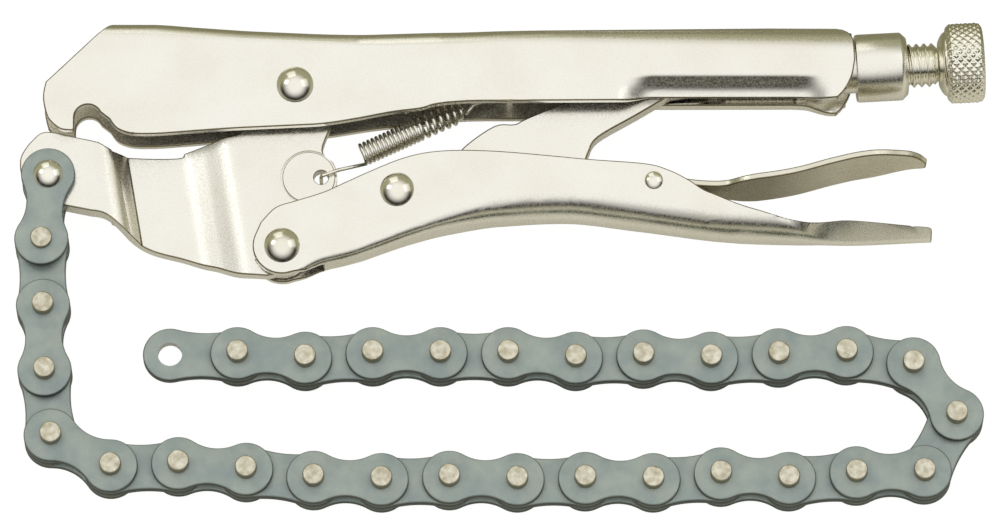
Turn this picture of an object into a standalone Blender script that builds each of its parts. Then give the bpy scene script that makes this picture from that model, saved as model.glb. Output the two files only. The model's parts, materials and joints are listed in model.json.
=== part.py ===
"""A locking chain clamp, lying on its side.

X runs along the tool towards its adjusting knob, Y across it towards the back
of the upper handle, Z up. Everything is laid out from a point on the tool's
middle plane just below the jaw's pivot, and the last step stands the tool on its floor, centred.
"""

import math

import bmesh
import bpy
from mathutils import Matrix, Vector

MM = 0.001

# Fits
CLEARANCE = 0.3 * MM
WELD = 0.0005 * MM

# Sheet channels
SHEET = 2.2 * MM
CHAIN_SIDE_ROOM = 0.4 * MM
INNER_CORNER = 0.4 * MM
LEAST_ROLL = 3
ROLL_SHARES = (1, 0.66, 0.33, 0)

# Pivots, from the place where the jaw's pivot meets the handle's datum line
PIVOT_RISE = 0.6 * MM
JAW_SPAN = 39.2 * MM
JAW_SPAN_LEAN = 4.2
TOGGLE_ARM = 30.3 * MM
TOGGLE_ARM_RISE = 26.5
TOGGLE_LENGTH = 75 * MM
SCREW_AXIS_RISE = 6.45 * MM
SCREW_SLOPE = 3.1
LEVER_PIVOT_REACH = 87.37 * MM
LEVER_PIVOT_RISE = 15 * MM
OPEN_PIVOT_GAP = 2.8 * MM

# Upper handle
UPPER_NOSE = 59.4 * MM
UPPER_TAIL = 132.1 * MM
UPPER_RISE = 15.4 * MM
UPPER_DROP = 11.6 * MM
UPPER_REAR_WIDTH = 16.6 * MM
UPPER_CORNER = 3 * MM
HOOK_SETBACK = 10.6 * MM
HOOK_DEPTH = 7.5 * MM
HOOK_PIN_ROOM = 0.65 * MM
HOOK_MOUTH_SHARE = 0.9

# Lower handle
LOWER_REACH = 152.9 * MM
LOWER_LOBE = 8 * MM
LOWER_REAR_WIDTH = 15.8 * MM
LOWER_CORNER = 5 * MM
LOWER_FRONT_CORNER = 2.4 * MM
LOWER_RISE = 23 * MM
WEB_START = 9.7 * MM

# Jaw
JAW_THICKNESS = 3.6 * MM
JAW_NOSE_THICKNESS = 5.4 * MM
JAW_DIP = 5.6 * MM
JAW_RIDGE_TURN = 9.5
JAW_REACH = 64.8 * MM
CHAIN_PIVOT_REACH = 58.05 * MM
CHAIN_PIVOT_DROP = 21 * MM
JAW_NOSE = 11.1 * MM
JAW_PIVOT_LOBE = 7.5 * MM
JAW_FOOT_LOBE = 6.3 * MM
BOSS_RADIUS = 6.3 * MM
BOSS_HEIGHT = 0.4 * MM
BOSS_REACH = 3.3 * MM
BOSS_DROP = 21 * MM
SPRING_HOLE_RADIUS = 1.75 * MM
SPRING_HOLE_REACH = 6.2 * MM

# Toggle link and release lever
TOGGLE_THICKNESS = 5 * MM
TOGGLE_LOBE = 5.5 * MM
TOGGLE_END = 4.5 * MM
LEVER_SHEET = 2.1 * MM
LEVER_WIDTH = 18.5 * MM
LEVER_EYE = 4.1 * MM
LEVER_REACH = 64.5 * MM
LEVER_RISE = 8 * MM
LEVER_NOSE = 13.3 * MM
LEVER_STEP_SHARE = 0.293

# Rivets: shank radius, head radius, head height
JAW_RIVET = (2.75 * MM, 4.6 * MM, 2 * MM)
HANDLE_RIVET = (2.6 * MM, 4.5 * MM, 1.8 * MM)
TOGGLE_RIVET = (2.5 * MM, 4.3 * MM, 1.8 * MM)
LEVER_RIVET = (1.5 * MM, 2.1 * MM, 0.7 * MM)
CHAIN_RIVET_HEAD = (3.4 * MM, 1.4 * MM)
WASHER_RADIUS = 6 * MM
DOME_ANGLES = (62, 32, 0)

# Adjusting screw
ROD_RADIUS = 5.2 * MM
SLEEVE_RADIUS = 8.05 * MM
SLEEVE_LENGTH = 12.2 * MM
SLEEVE_SPIGOT = 14 * MM
SLEEVE_CHAMFER = 1.2 * MM
ROD_SHOWN = 7.2 * MM
ROD_TIP_CHAMFER = 1.2 * MM
KNOB_RADIUS = 9.5 * MM
KNOB_LENGTH = 8.8 * MM
KNOB_SHOULDER_RADIUS = 7.6 * MM
KNOB_SHOULDER = 1.8 * MM
KNOB_ROUND = 1.6 * MM
ROUND_SHARE = 0.3
KNOB_SPIGOT_RADIUS = 3 * MM

# Spring
WIRE = 0.8 * MM
COIL_RADIUS = 2.75 * MM
COIL_START_REACH = 15.8 * MM
COIL_START_DROP = 14.9 * MM
COIL_SLOPE = 25.2
CLOSE_PITCH = 1.45 * MM
OPEN_PITCH = 1.8 * MM
CLOSE_TURNS = 10
OPEN_TURNS = 9
POINTS_PER_TURN = 10
COIL_FIRST_ANGLE = -90
HOOK_OVERHANG = 4.8 * MM
ANCHOR_RADIUS = 1.2 * MM
ANCHOR_DISTANCE = 38.5 * MM

# Chain
CHAIN_PITCH = 15.875 * MM
PLATE_LOBE = 6.45 * MM
OUTER_WAIST = 4.35 * MM
INNER_WAIST = 5.4 * MM
OUTER_PLATE = 1.95 * MM
INNER_PLATE = 2.8 * MM
CHAIN_PIN_RADIUS = 2.55 * MM
PIN_PROUD = 2.7 * MM
PLATE_GAP = 0.25 * MM
LOBE_START = 50
# the way each link points, in degrees, from the jaw's rivet to the free end
LINK_HEADINGS = [
    -95, -88, -88, -84, -28, 2, -5, -7, -2, 2, -2, 1, -1, 5, -4,
    5, 1, 61, 129, 170, 182, 183, 178, 182, 176, 180, 180, 184, 176, 179,
]

# Facets
FINE = 20
COARSE = 12
RIVET_FACETS = 16
KNOB_FACETS = 24
LOBE_FACETS = 8
PIN_FACETS = 10
CORNER_STEPS = 4
SMOOTH_ANGLE = 35

STEEL_WHITE = (0.78, 0.76, 0.69)
STEEL_BRIGHT = (0.83, 0.82, 0.78)
CHAIN_BLUE = (0.16, 0.21, 0.22)
PIN_TAN = (0.56, 0.51, 0.42)


# Places worked out from the sizes above
def polar(length, degrees):
    angle = math.radians(degrees)
    return Vector((length * math.cos(angle), length * math.sin(angle), 0))


JAW_PIVOT = Vector((0, PIVOT_RISE, 0))
HANDLE_PIVOT = JAW_PIVOT + polar(JAW_SPAN, -90 - JAW_SPAN_LEAN)
TOGGLE_PIVOT = HANDLE_PIVOT + polar(TOGGLE_ARM, TOGGLE_ARM_RISE)
SCREW_SEAT = Vector((UPPER_TAIL, SCREW_AXIS_RISE, 0))
SCREW_RUN = polar(1, SCREW_SLOPE)
SEAT_BEYOND = (SCREW_SEAT - TOGGLE_PIVOT).dot(SCREW_RUN)
SEAT_ASIDE = (SCREW_SEAT - TOGGLE_PIVOT - SCREW_RUN * SEAT_BEYOND).length
TIP_SETBACK = SEAT_BEYOND - math.sqrt(TOGGLE_LENGTH**2 - SEAT_ASIDE**2)
TOGGLE_TIP = SCREW_SEAT - SCREW_RUN * TIP_SETBACK
LEVER_PIVOT = HANDLE_PIVOT + Vector((LEVER_PIVOT_REACH, LEVER_PIVOT_RISE, 0))
BOSS_CENTRE = Vector((BOSS_REACH, -BOSS_DROP, 0))
SPRING_HOLE = Vector((SPRING_HOLE_REACH, -BOSS_DROP, 0))
CHAIN_PIVOT = Vector((-CHAIN_PIVOT_REACH, -CHAIN_PIVOT_DROP, 0))
CHAIN_HALF = INNER_PLATE / 2 + PLATE_GAP + OUTER_PLATE
UPPER_FRONT_HALF = CHAIN_HALF + CHAIN_SIDE_ROOM + SHEET
LOWER_FRONT_HALF = JAW_THICKNESS / 2 + BOSS_HEIGHT + CLEARANCE + SHEET
LOWER_TOGGLE_HALF = TOGGLE_THICKNESS / 2 + CLEARANCE + SHEET
FIRST_LINK_INNER = JAW_NOSE_THICKNESS / 2 + CLEARANCE
HOOK_RADIUS = CHAIN_PIN_RADIUS + HOOK_PIN_ROOM
PIN_HOLE = (CHAIN_PIN_RADIUS + CLEARANCE) / math.cos(math.pi / PIN_FACETS)


def new_collection(name):
    made = bpy.data.collections.new(name)
    bpy.context.scene.collection.children.link(made)
    return made


def clear_scene():
    for thing in list(bpy.data.objects):
        bpy.data.objects.remove(thing, do_unlink=True)


def finish_material(name, colour, metallic, roughness):
    material = bpy.data.materials.new(name)
    material.use_nodes = True
    shader = material.node_tree.nodes["Principled BSDF"]
    shader.inputs["Base Color"].default_value = (*colour, 1)
    shader.inputs["Metallic"].default_value = metallic
    shader.inputs["Roughness"].default_value = roughness
    return material


def add_object(name, data, material=None, helper=False):
    thing = bpy.data.objects.new(name, data)
    (cutters if helper else clamp).objects.link(thing)
    if material:
        data.materials.clear()
        data.materials.append(material)
    if helper:
        thing.hide_render = True
        thing.display_type = "WIRE"
    return thing


def mesh_from(name, shape):
    mesh = bpy.data.meshes.new(name)
    shape.to_mesh(mesh)
    shape.free()
    return mesh


def arc(centre, radius, first, last, steps):
    """Points on a round stretch of an outline, from one angle in degrees to another."""
    turn = (last - first) / steps
    return [centre + polar(radius, first + turn * step) for step in range(steps + 1)]


def shares_to_points(shares, across, along):
    return [Vector((x * across, y * along, 0)) for x, y in shares]


def flat_curve(name, outlines, thickness):
    """A flat plate: the first outline is its rim, and the others are holes in it."""
    curve = bpy.data.curves.new(name, "CURVE")
    curve.dimensions = "2D"
    curve.fill_mode = "BOTH"
    curve.extrude = thickness / 2
    for outline in outlines:
        spline = curve.splines.new("POLY")
        spline.points.add(len(outline) - 1)
        for point, place in zip(spline.points, outline):
            point.co = (place.x, place.y, 0, 1)
        spline.use_cyclic_u = True
    return curve


def to_mesh(thing):
    """The object's evaluated shape as a mesh, with the curve's loose caps welded on."""
    bpy.context.view_layer.update()
    mesh = bpy.data.meshes.new_from_object(thing.evaluated_get(bpy.context.evaluated_depsgraph_get()))
    shape = bmesh.new()
    shape.from_mesh(mesh)
    bmesh.ops.remove_doubles(shape, verts=shape.verts, dist=WELD)
    shape.to_mesh(mesh)
    shape.free()
    return mesh


def plate(name, outlines, thickness, material=None, helper=False, z=0):
    """A plate as a mesh object, its middle at height z."""
    guide = add_object(name + "_guide", flat_curve(name, outlines, thickness), helper=True)
    mesh = to_mesh(guide)
    bpy.data.objects.remove(guide, do_unlink=True)
    mesh.transform(Matrix.Translation((0, 0, z)))
    return add_object(name, mesh, material, helper)


def drum(name, radius, bottom, top, centre, facets=FINE, helper=True, material=None):
    """A cylinder about the Z direction, from one height to another."""
    shape = bmesh.new()
    place = Matrix.Translation((centre.x, centre.y, (bottom + top) / 2))
    bmesh.ops.create_cone(
        shape, cap_ends=True, segments=facets, radius1=radius, radius2=radius, depth=top - bottom, matrix=place
    )
    return add_object(name, mesh_from(name, shape), material, helper)


def block(name, low, high):
    """A box between two corners, for cutting."""
    shape = bmesh.new()
    size = Matrix.Diagonal((*(high - low), 1))
    bmesh.ops.create_cube(shape, size=1, matrix=Matrix.Translation((low + high) / 2) @ size)
    return add_object(name, mesh_from(name, shape), helper=True)


def boolean(thing, other, operation):
    step = thing.modifiers.new(operation.title(), "BOOLEAN")
    step.operation = operation
    step.solver = "EXACT"
    step.object = other


def bake(thing):
    """The modifiers made part of the mesh, and the helpers that they used removed."""
    helpers = [step.object for step in thing.modifiers if step.type == "BOOLEAN"]
    bpy.context.view_layer.update()
    mesh = bpy.data.meshes.new_from_object(thing.evaluated_get(bpy.context.evaluated_depsgraph_get()))
    thing.modifiers.clear()
    thing.data = mesh
    for helper in helpers:
        if helper.name in cutters.objects:
            bpy.data.objects.remove(helper, do_unlink=True)


def shade(thing):
    thing.data.shade_smooth()
    thing.data.set_sharp_from_angle(angle=math.radians(SMOOTH_ANGLE))


def put_on_axis(thing, axis, carrier=None):
    """The object's origin moved to its joint's axis, and the object given its carrier."""
    thing.data.transform(Matrix.Translation(-axis))
    thing.location = axis
    hang(thing, carrier)


def hang(thing, carrier):
    if carrier:
        bpy.context.view_layer.update()
        thing.parent = carrier
        thing.matrix_parent_inverse = carrier.matrix_world.inverted()


def turned(name, profile, facets, material, slope=None, centre=None):
    """A turned piece: radius and height pairs, listed from its top down, laid over along X if it has a slope."""
    shape = bmesh.new()
    rim = [shape.verts.new((radius, 0, height)) for radius, height in profile]
    for first, second in zip(rim, rim[1:]):
        shape.edges.new((first, second))
    thing = add_object(name, mesh_from(name, shape), material)
    step = thing.modifiers.new("Turn", "SCREW")
    step.steps = facets
    step.render_steps = facets
    step.use_merge_vertices = True
    step.merge_threshold = WELD
    step.use_smooth_shade = True
    bake(thing)
    if slope is not None:
        lay_over = Matrix.Rotation(math.radians(slope), 4, "Z") @ Matrix.Rotation(math.radians(90), 4, "Y")
        thing.data.transform(lay_over)
    if centre:
        thing.data.transform(Matrix.Translation(centre))
    return thing


def rivet(name, sizes, grip, centre, material):
    """A round rivet: a shank through the grip and a domed head outside each face of it."""
    shank, head, height = sizes
    seat = grip + CLEARANCE
    dome = [
        (head * math.cos(math.radians(angle)), seat + height * math.sin(math.radians(angle)))
        for angle in DOME_ANGLES
    ]
    upper = [(0, seat + height), *dome, (shank, seat)]
    lower = [(radius, -z) for radius, z in reversed(upper)]
    return turned(name, upper + lower, RIVET_FACETS, material, centre=centre)


def ring(name, inner, outer, bottom, top, centre, material):
    profile = [(inner, top), (outer, top), (outer, bottom), (inner, bottom), (inner, top)]
    return turned(name, profile, FINE, material, centre=Vector((centre.x, centre.y, 0)))


def channel_side(half, corner, web, cheek_end, roll, up):
    """Half of a channel's line at one station, as y and z pairs, from the cheek's free edge to the web."""
    side = 1 if up else -1
    lip = max(roll, LEAST_ROLL)
    turns = [math.radians(lip * share) for share in ROLL_SHARES]
    line = [(cheek_end - side * half * math.sin(turn), half * math.cos(turn)) for turn in turns]
    for step in range(CORNER_STEPS + 1):
        angle = math.radians(90 * step / CORNER_STEPS)
        line.append((web - side * corner * (1 - math.sin(angle)), half - corner * (1 - math.cos(angle))))
    line.append((web, 0))
    return line


def channel(name, stations, up, material):
    """A bent sheet channel, lofted through its stations: x, half width, corner radius, web, cheek end, roll."""
    shape = bmesh.new()
    rows = []
    for x, half, corner, web, cheek_end, roll in stations:
        inner_web = web - SHEET if up else web + SHEET
        inner_corner = max(corner - SHEET, INNER_CORNER)
        loop = []
        outer_side = channel_side(half, corner, web, cheek_end, roll, up)
        inner_side = channel_side(half - SHEET, inner_corner, inner_web, cheek_end, roll, up)
        loop += outer_side + [(y, -z) for y, z in reversed(outer_side[:-1])]
        loop += [(y, -z) for y, z in inner_side] + inner_side[-2::-1]
        rows.append([shape.verts.new((x, y, z)) for y, z in loop])
    for first, second in zip(rows, rows[1:]):
        for i in range(len(first)):
            j = (i + 1) % len(first)
            shape.faces.new((first[i], first[j], second[j], second[i]))
    shape.faces.new(rows[0])
    shape.faces.new(rows[-1])
    bmesh.ops.recalc_face_normals(shape, faces=shape.faces)
    return add_object(name, mesh_from(name, shape), material)


# Upper handle
def upper_x(share):
    return -UPPER_NOSE + share * (UPPER_NOSE + UPPER_TAIL)


# place along the handle, half width between front (0) and rear (1), corner between front (0) and round (1),
# web as a share of the rise, cheek's straight end as a share of the rise, roll of the lips in degrees
UPPER_STATION_SHARES = [
    (0.0, 0, 0, 1.073, -1.1, 0),
    (0.13, 0, 0, 1.073, -1.1, 0),
    (0.19, 0, 0, 1.024, -1.1, 0),
    (0.26, 0, 0, 0.965, -1.1, 0),
    (0.385, 0, 0, 0.91, -1.1, 0),
    (0.44, 0.5, 0.02, 0.908, -0.8, 0),
    (0.5, 0.97, 0.05, 0.908, -0.6, 0),
    (0.56, 1, 0.1, 0.93, -0.45, 0),
    (0.6, 1, 0.15, 0.942, -0.235, 3),
    (0.64, 1, 0.22, 0.95, -0.216, 5),
    (0.73, 1, 0.42, 0.968, 0.07, 35),
    (0.83, 1, 0.7, 1.01, 0.207, 55),
    (0.92, 1, 0.9, 1.033, 0.245, 62),
    (1.0, 1, 0.94, 1.033, 0.25, 63),
]

UPPER_TAIL_SHARES = [
    (0.45, -0.6), (0.63, -0.6), (0.945, -0.5), (0.975, -0.28), (0.989, -0.12),
    (1.0, 0.42), (0.9975, 0.74), (0.991, 0.87), (0.978, 0.97), (0.96, 1.035), (0.94, 1.3),
]
UPPER_SLANT_SHARES = [(-0.69, 1.226), (-0.99, 0.091)]
UPPER_NOSE_SHARES = [
    (-0.998, -0.05), (-1.0, -0.19), (-0.988, -0.41), (-0.971, -0.54), (-0.931, -0.67), (-0.886, -0.695),
]
UPPER_BELLY_SHARES = [
    (-0.705, -0.88), (-0.65, -0.985), (-0.577, -1.0), (-0.507, -0.983),
    (-0.364, -0.922), (-0.217, -0.87), (-0.003, -0.82),
]
UPPER_WAIST_SHARES = [
    (0.061, -0.77), (0.165, -0.57), (0.223, -0.5), (0.25, -0.42), (0.29, -0.37), (0.34, -0.35), (0.43, -0.35),
]


def upper_handle(material):
    rear_half = UPPER_REAR_WIDTH / 2
    stations = []
    for share, widen, rounding, web, end, roll in UPPER_STATION_SHARES:
        half = UPPER_FRONT_HALF + widen * (rear_half - UPPER_FRONT_HALF)
        corner = UPPER_CORNER + rounding * (half - UPPER_CORNER)
        stations.append((upper_x(share), half, corner, web * UPPER_RISE, end * UPPER_RISE, roll))
    thing = channel("upper_handle", stations, True, material)
    centre = Vector((HOOK_SETBACK - UPPER_NOSE, -HOOK_DEPTH, 0))
    hook = arc(centre, HOOK_RADIUS, 180, 25, 6)
    outline = (
        shares_to_points(UPPER_TAIL_SHARES, UPPER_TAIL, UPPER_RISE)
        + shares_to_points(UPPER_SLANT_SHARES, UPPER_NOSE, UPPER_RISE)
        + shares_to_points(UPPER_NOSE_SHARES, UPPER_NOSE, UPPER_RISE)
        + [Vector((centre.x - HOOK_RADIUS, -HOOK_MOUTH_SHARE * UPPER_DROP, 0))]
        + hook
        + shares_to_points(UPPER_BELLY_SHARES, UPPER_NOSE, UPPER_DROP)
        + shares_to_points(UPPER_WAIST_SHARES, UPPER_TAIL, UPPER_DROP)
    )
    boolean(thing, plate("upper_side_cut", [outline], 2 * UPPER_REAR_WIDTH, helper=True), "INTERSECT")
    shank = JAW_RIVET[0] + CLEARANCE
    bore = drum("jaw_rivet_cut", shank, -UPPER_REAR_WIDTH, UPPER_REAR_WIDTH, JAW_PIVOT, COARSE)
    boolean(thing, bore, "DIFFERENCE")
    bake(thing)
    shade(thing)
    return thing


# Lower handle
# the places along the handle that stay with its pivots, with the lever's step and with its rear end
LOWER_ANCHOR_SHARES = (0, 0.1773, 0.5714, 0.695, 1)


def lower_x(share):
    """Where a share of the lower handle's length lies, from its front pivot."""
    step = LEVER_PIVOT_REACH + LEVER_STEP_SHARE * LEVER_REACH
    places = (0, TOGGLE_PIVOT.x - HANDLE_PIVOT.x, LEVER_PIVOT_REACH, step, LOWER_REACH)
    spans = list(zip(LOWER_ANCHOR_SHARES, LOWER_ANCHOR_SHARES[1:], places, places[1:]))
    for first, last, near, far in spans:
        if share <= last or last == 1:
            return near + (share - first) / (last - first) * (far - near)


def lower_points(shares):
    return [HANDLE_PIVOT + Vector((lower_x(x), y * LOWER_RISE, 0)) for x, y in shares]


# place along the handle, width from the jaw (0) to the toggle link (1), from there to the rear (1),
# corner between front (0) and rear (1), web as a share of the drop
LOWER_STATION_SHARES = [
    (-0.055, 0, 0, 0, -0.62),
    (0.063, 0, 0, 0, -0.184),
    (0.097, 0, 0, 0, -0.126),
    (0.127, 1, 0, 0, -0.065),
    (0.139, 1, 0, 0.1, -0.037),
    (0.2, 1, 0, 0.25, 0.11),
    (0.254, 1, 0.58, 0.5, 0.208),
    (0.333, 1, 1, 1, 0.286),
    (0.431, 1, 1, 1, 0.314),
    (0.549, 1, 1, 1, 0.227),
    (0.696, 1, 1, 1, 0.104),
    (0.843, 1, 1, 1, 0.066),
    (1.019, 1, 1, 1, 0.126),
]
LOWER_TOP_SHARES = [
    (0.997, 0.178), (0.99, 0.196), (0.965, 0.21), (0.875, 0.265), (0.813, 0.262),
    (0.774, 0.29), (0.738, 0.356), (0.705, 0.416), (0.666, 0.53), (0.647, 0.585),
    (0.624, 0.7), (0.595, 0.79), (0.558, 0.835), (0.465, 0.885), (0.333, 0.97),
    (0.242, 0.99), (0.181, 0.918), (0.104, 0.7), (0.065, 0.578), (0.023, 0.46),
]
LOWER_FOOT_SHARES = [
    (0.02, -0.31), (0.04, -0.235), (0.063, -0.178), (0.063, -0.54), (0.313, -0.54),
    (1, -0.16),
]


def lower_handle(material):
    rear_half = LOWER_REAR_WIDTH / 2
    stations = []
    for share, to_toggle, to_rear, rounding, web in LOWER_STATION_SHARES:
        half = LOWER_FRONT_HALF + to_toggle * (LOWER_TOGGLE_HALF - LOWER_FRONT_HALF)
        half += to_rear * (rear_half - LOWER_TOGGLE_HALF)
        corner = LOWER_FRONT_CORNER + rounding * (LOWER_CORNER - LOWER_FRONT_CORNER)
        place = lower_points([(share, web)])[0]
        stations.append((place.x, half, corner, place.y, 0, 0))
    thing = channel("lower_handle", stations, False, material)
    lobe = arc(HANDLE_PIVOT, LOWER_LOBE, 125, 275, 8)
    outline = lower_points(LOWER_TOP_SHARES) + lobe + lower_points(LOWER_FOOT_SHARES)
    boolean(thing, plate("lower_side_cut", [outline], 2 * LOWER_REAR_WIDTH, helper=True), "INTERSECT")
    room = LOWER_FRONT_HALF - SHEET
    low = HANDLE_PIVOT + Vector((-LOWER_REACH, -LOWER_REACH, -room))
    high = HANDLE_PIVOT + Vector((WEB_START, LOWER_REACH, room))
    boolean(thing, block("lower_mouth_cut", low, high), "DIFFERENCE")
    for name, sizes, centre in (
        ("handle_rivet_cut", HANDLE_RIVET, HANDLE_PIVOT),
        ("toggle_rivet_cut", TOGGLE_RIVET, TOGGLE_PIVOT),
        ("lever_rivet_cut", LEVER_RIVET, LEVER_PIVOT),
    ):
        cut = drum(name, sizes[0] + CLEARANCE, -LOWER_REAR_WIDTH, LOWER_REAR_WIDTH, centre, COARSE)
        boolean(thing, cut, "DIFFERENCE")
    bake(thing)
    shade(thing)
    return thing


# Jaw
JAW_TOP_SHARES = [
    (0.131, -0.211), (0.1, -0.364), (0.139, -0.441), (0.153, -0.51), (0.148, -0.593), (0.13, -0.704),
]
JAW_BELLY_SHARES = [
    (-0.1, -1.15), (-0.2, -1.127), (-0.28, -1.077), (-0.33, -1.052), (-0.41, -1.007),
    (-0.514, -0.96), (-0.585, -0.896), (-0.68, -0.773), (-0.742, -0.748),
]
JAW_NOSE_SHARES = [
    (0.384, -0.644), (-0.024, -0.566), (-0.345, -0.367), (-0.55, -0.043), (-0.608, 0.276),
    (-0.561, 0.512), (-0.357, 0.802), (-0.054, 1.001), (0.635, 0.864),
]
JAW_CREST_SHARES = [
    (-0.715, -0.314), (-0.673, -0.349), (-0.64, -0.366), (-0.43, -0.373), (-0.405, -0.349),
    (-0.363, -0.329), (-0.31, -0.304), (-0.26, -0.277), (-0.2, -0.252), (-0.15, -0.141),
]
# place along the jaw, middle height as a share of the dip, thickness between plate (0) and nose (1)
JAW_WAVE_SHARES = [
    (0.4, 0, 0), (-0.2, 0, 0), (-0.27, -0.12, 0), (-0.36, -0.55, 0), (-0.44, -0.88, 0), (-0.52, -0.98, 0),
    (-0.6, -0.98, 0.1), (-0.645, -0.9, 0.4), (-0.675, -0.35, 0.6), (-0.7, -0.05, 0.9), (-0.75, 0, 1),
    (-1.2, 0, 1),
]


def jaw_wave():
    """The jaw's wavy section, run across it and turned to the line of its ridges."""
    middle = [Vector((along * JAW_REACH, height * JAW_DIP, 0)) for along, height, _ in JAW_WAVE_SHARES]
    upper, lower = [], []
    for i, (_, _, thick) in enumerate(JAW_WAVE_SHARES):
        before = middle[max(i - 1, 0)]
        after = middle[min(i + 1, len(middle) - 1)]
        run = (after - before).normalized()
        normal = Vector((run.y, -run.x, 0))
        half = (JAW_THICKNESS + thick * (JAW_NOSE_THICKNESS - JAW_THICKNESS)) / 2
        upper.append(middle[i] + normal * half)
        lower.append(middle[i] - normal * half)
    wave = plate("jaw_wave_cut", [upper + lower[::-1]], 4 * JAW_SPAN, helper=True)
    wave.data.transform(Matrix.Rotation(math.radians(90), 4, "X"))
    wave.data.transform(Matrix.Rotation(math.radians(JAW_RIDGE_TURN), 4, "Z"))
    return wave


def jaw(material):
    outline = (
        arc(JAW_PIVOT, JAW_PIVOT_LOBE, 180, 0, 8)
        + shares_to_points(JAW_TOP_SHARES, JAW_REACH, JAW_SPAN)
        + arc(HANDLE_PIVOT, JAW_FOOT_LOBE, 30, -100, 6)
        + shares_to_points(JAW_BELLY_SHARES, JAW_REACH, JAW_SPAN)
        + [CHAIN_PIVOT + place for place in shares_to_points(JAW_NOSE_SHARES, JAW_NOSE, JAW_NOSE)]
        + shares_to_points(JAW_CREST_SHARES, JAW_REACH, JAW_SPAN)
    )
    thing = plate("jaw", [outline], 2 * JAW_SPAN, material)
    boolean(thing, jaw_wave(), "INTERSECT")
    half = JAW_THICKNESS / 2
    boolean(thing, drum("boss_join", BOSS_RADIUS, 0, half + BOSS_HEIGHT, BOSS_CENTRE), "UNION")
    for name, radius, centre in (
        ("jaw_pivot_cut", JAW_RIVET[0] + CLEARANCE, JAW_PIVOT),
        ("jaw_foot_cut", HANDLE_RIVET[0] + CLEARANCE, HANDLE_PIVOT),
        ("jaw_nose_cut", CHAIN_PIN_RADIUS + CLEARANCE, CHAIN_PIVOT),
        ("jaw_spring_cut", SPRING_HOLE_RADIUS, SPRING_HOLE),
    ):
        boolean(thing, drum(name, radius, -JAW_SPAN, JAW_SPAN, centre, COARSE), "DIFFERENCE")
    bake(thing)
    shade(thing)
    return thing


# Toggle link
TOGGLE_TOP_SHARES = [
    (0.145, 0.123), (0.182, 0.231), (0.226, 0.388), (0.33, 0.565), (0.4, 0.581), (0.45, 0.64),
    (0.7, 0.895), (0.93, 1.13),
]
TOGGLE_LOW_SHARES = [
    (0.93, 0.82), (0.82, 0.66), (0.685, 0.469), (0.652, 0.342), (0.635, 0.235), (0.6, 0.139),
    (0.5, 0.011), (0.28, -0.084), (0.1, -0.16),
]


def toggle_link(material):
    reach = TOGGLE_TIP - TOGGLE_PIVOT
    top = [TOGGLE_PIVOT + place for place in shares_to_points(TOGGLE_TOP_SHARES, reach.x, reach.y)]
    low = [TOGGLE_PIVOT + place for place in shares_to_points(TOGGLE_LOW_SHARES, reach.x, reach.y)]
    outline = arc(TOGGLE_PIVOT, TOGGLE_LOBE, 265, 115, 8) + top + arc(TOGGLE_TIP, TOGGLE_END, 110, -70, 8) + low
    hole = arc(TOGGLE_PIVOT, TOGGLE_RIVET[0] + CLEARANCE, 0, 330, COARSE - 1)
    return plate("toggle_link", [outline, hole], TOGGLE_THICKNESS, material)


# Release lever: the middle line of its sheet, as shares of its reach and drop
LEVER_LINE_SHARES = [
    (-0.005, 0.281), (0.099, 0.119), (0.226, 0.03), (0.376, 0.12), (0.515, 0.3),
    (0.653, 0.605), (0.769, 0.81), (0.931, 0.95), (1, 0.86),
]
LEVER_NOSE_SHARES = [
    (-0.998, 0.222), (-0.08, 0.222), (-0.08, 0.01), (-0.998, 0.045),
]
# along the lever from its step, and half its width
LEVER_TONGUE_SHARES = [
    (LEVER_STEP_SHARE, 1), (0.75, 1), (0.83, 0.92), (0.9, 0.7), (0.945, 0.55), (0.98, 0.36), (1.05, 0.1),
]


def thick_line(points, thickness):
    """The outline round a strip of sheet seen from its edge."""
    above, below = [], []
    for i, point in enumerate(points):
        run = (points[min(i + 1, len(points) - 1)] - points[max(i - 1, 0)]).normalized()
        normal = Vector((-run.y, run.x, 0)) * thickness / 2
        above.append(point + normal)
        below.append(point - normal)
    return above + below[::-1]


def lever_plan(neck_half):
    """The lever seen from above: a neck that clears the cheeks, then a tongue with a drawn-in end."""
    step = LEVER_STEP_SHARE * LEVER_REACH
    tongue = shares_to_points(LEVER_TONGUE_SHARES, LEVER_REACH, LEVER_WIDTH / 2)
    near = [Vector((-LEVER_REACH, neck_half, 0)), Vector((step, neck_half, 0)), *tongue]
    far = [Vector((place.x, -place.y, 0)) for place in reversed(near)]
    plan = plate("lever_plan_cut", [near + far], 4 * LEVER_REACH, helper=True)
    plan.data.transform(Matrix.Rotation(math.radians(90), 4, "X"))
    plan.data.transform(Matrix.Translation(LEVER_PIVOT))
    return plan


def release_lever(material):
    line = [LEVER_PIVOT + place for place in shares_to_points(LEVER_LINE_SHARES, LEVER_REACH, LEVER_RISE)]
    thing = plate("release_lever", [thick_line(line, LEVER_SHEET)], 2 * LEVER_WIDTH, material)
    eye_half = LOWER_REAR_WIDTH / 2 - SHEET - CLEARANCE
    boolean(thing, lever_plan(eye_half - CLEARANCE), "INTERSECT")
    boolean(thing, drum("lever_eye_join", LEVER_EYE, -eye_half, eye_half, LEVER_PIVOT), "UNION")
    nose = [LEVER_PIVOT + place for place in shares_to_points(LEVER_NOSE_SHARES, LEVER_NOSE, LEVER_NOSE)]
    boolean(thing, plate("lever_nose_join", [nose], TOGGLE_THICKNESS, helper=True), "UNION")
    bore = LEVER_RIVET[0] + CLEARANCE
    boolean(thing, drum("lever_bore_cut", bore, -LEVER_WIDTH, LEVER_WIDTH, LEVER_PIVOT, COARSE), "DIFFERENCE")
    bake(thing)
    shade(thing)
    return thing


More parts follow.
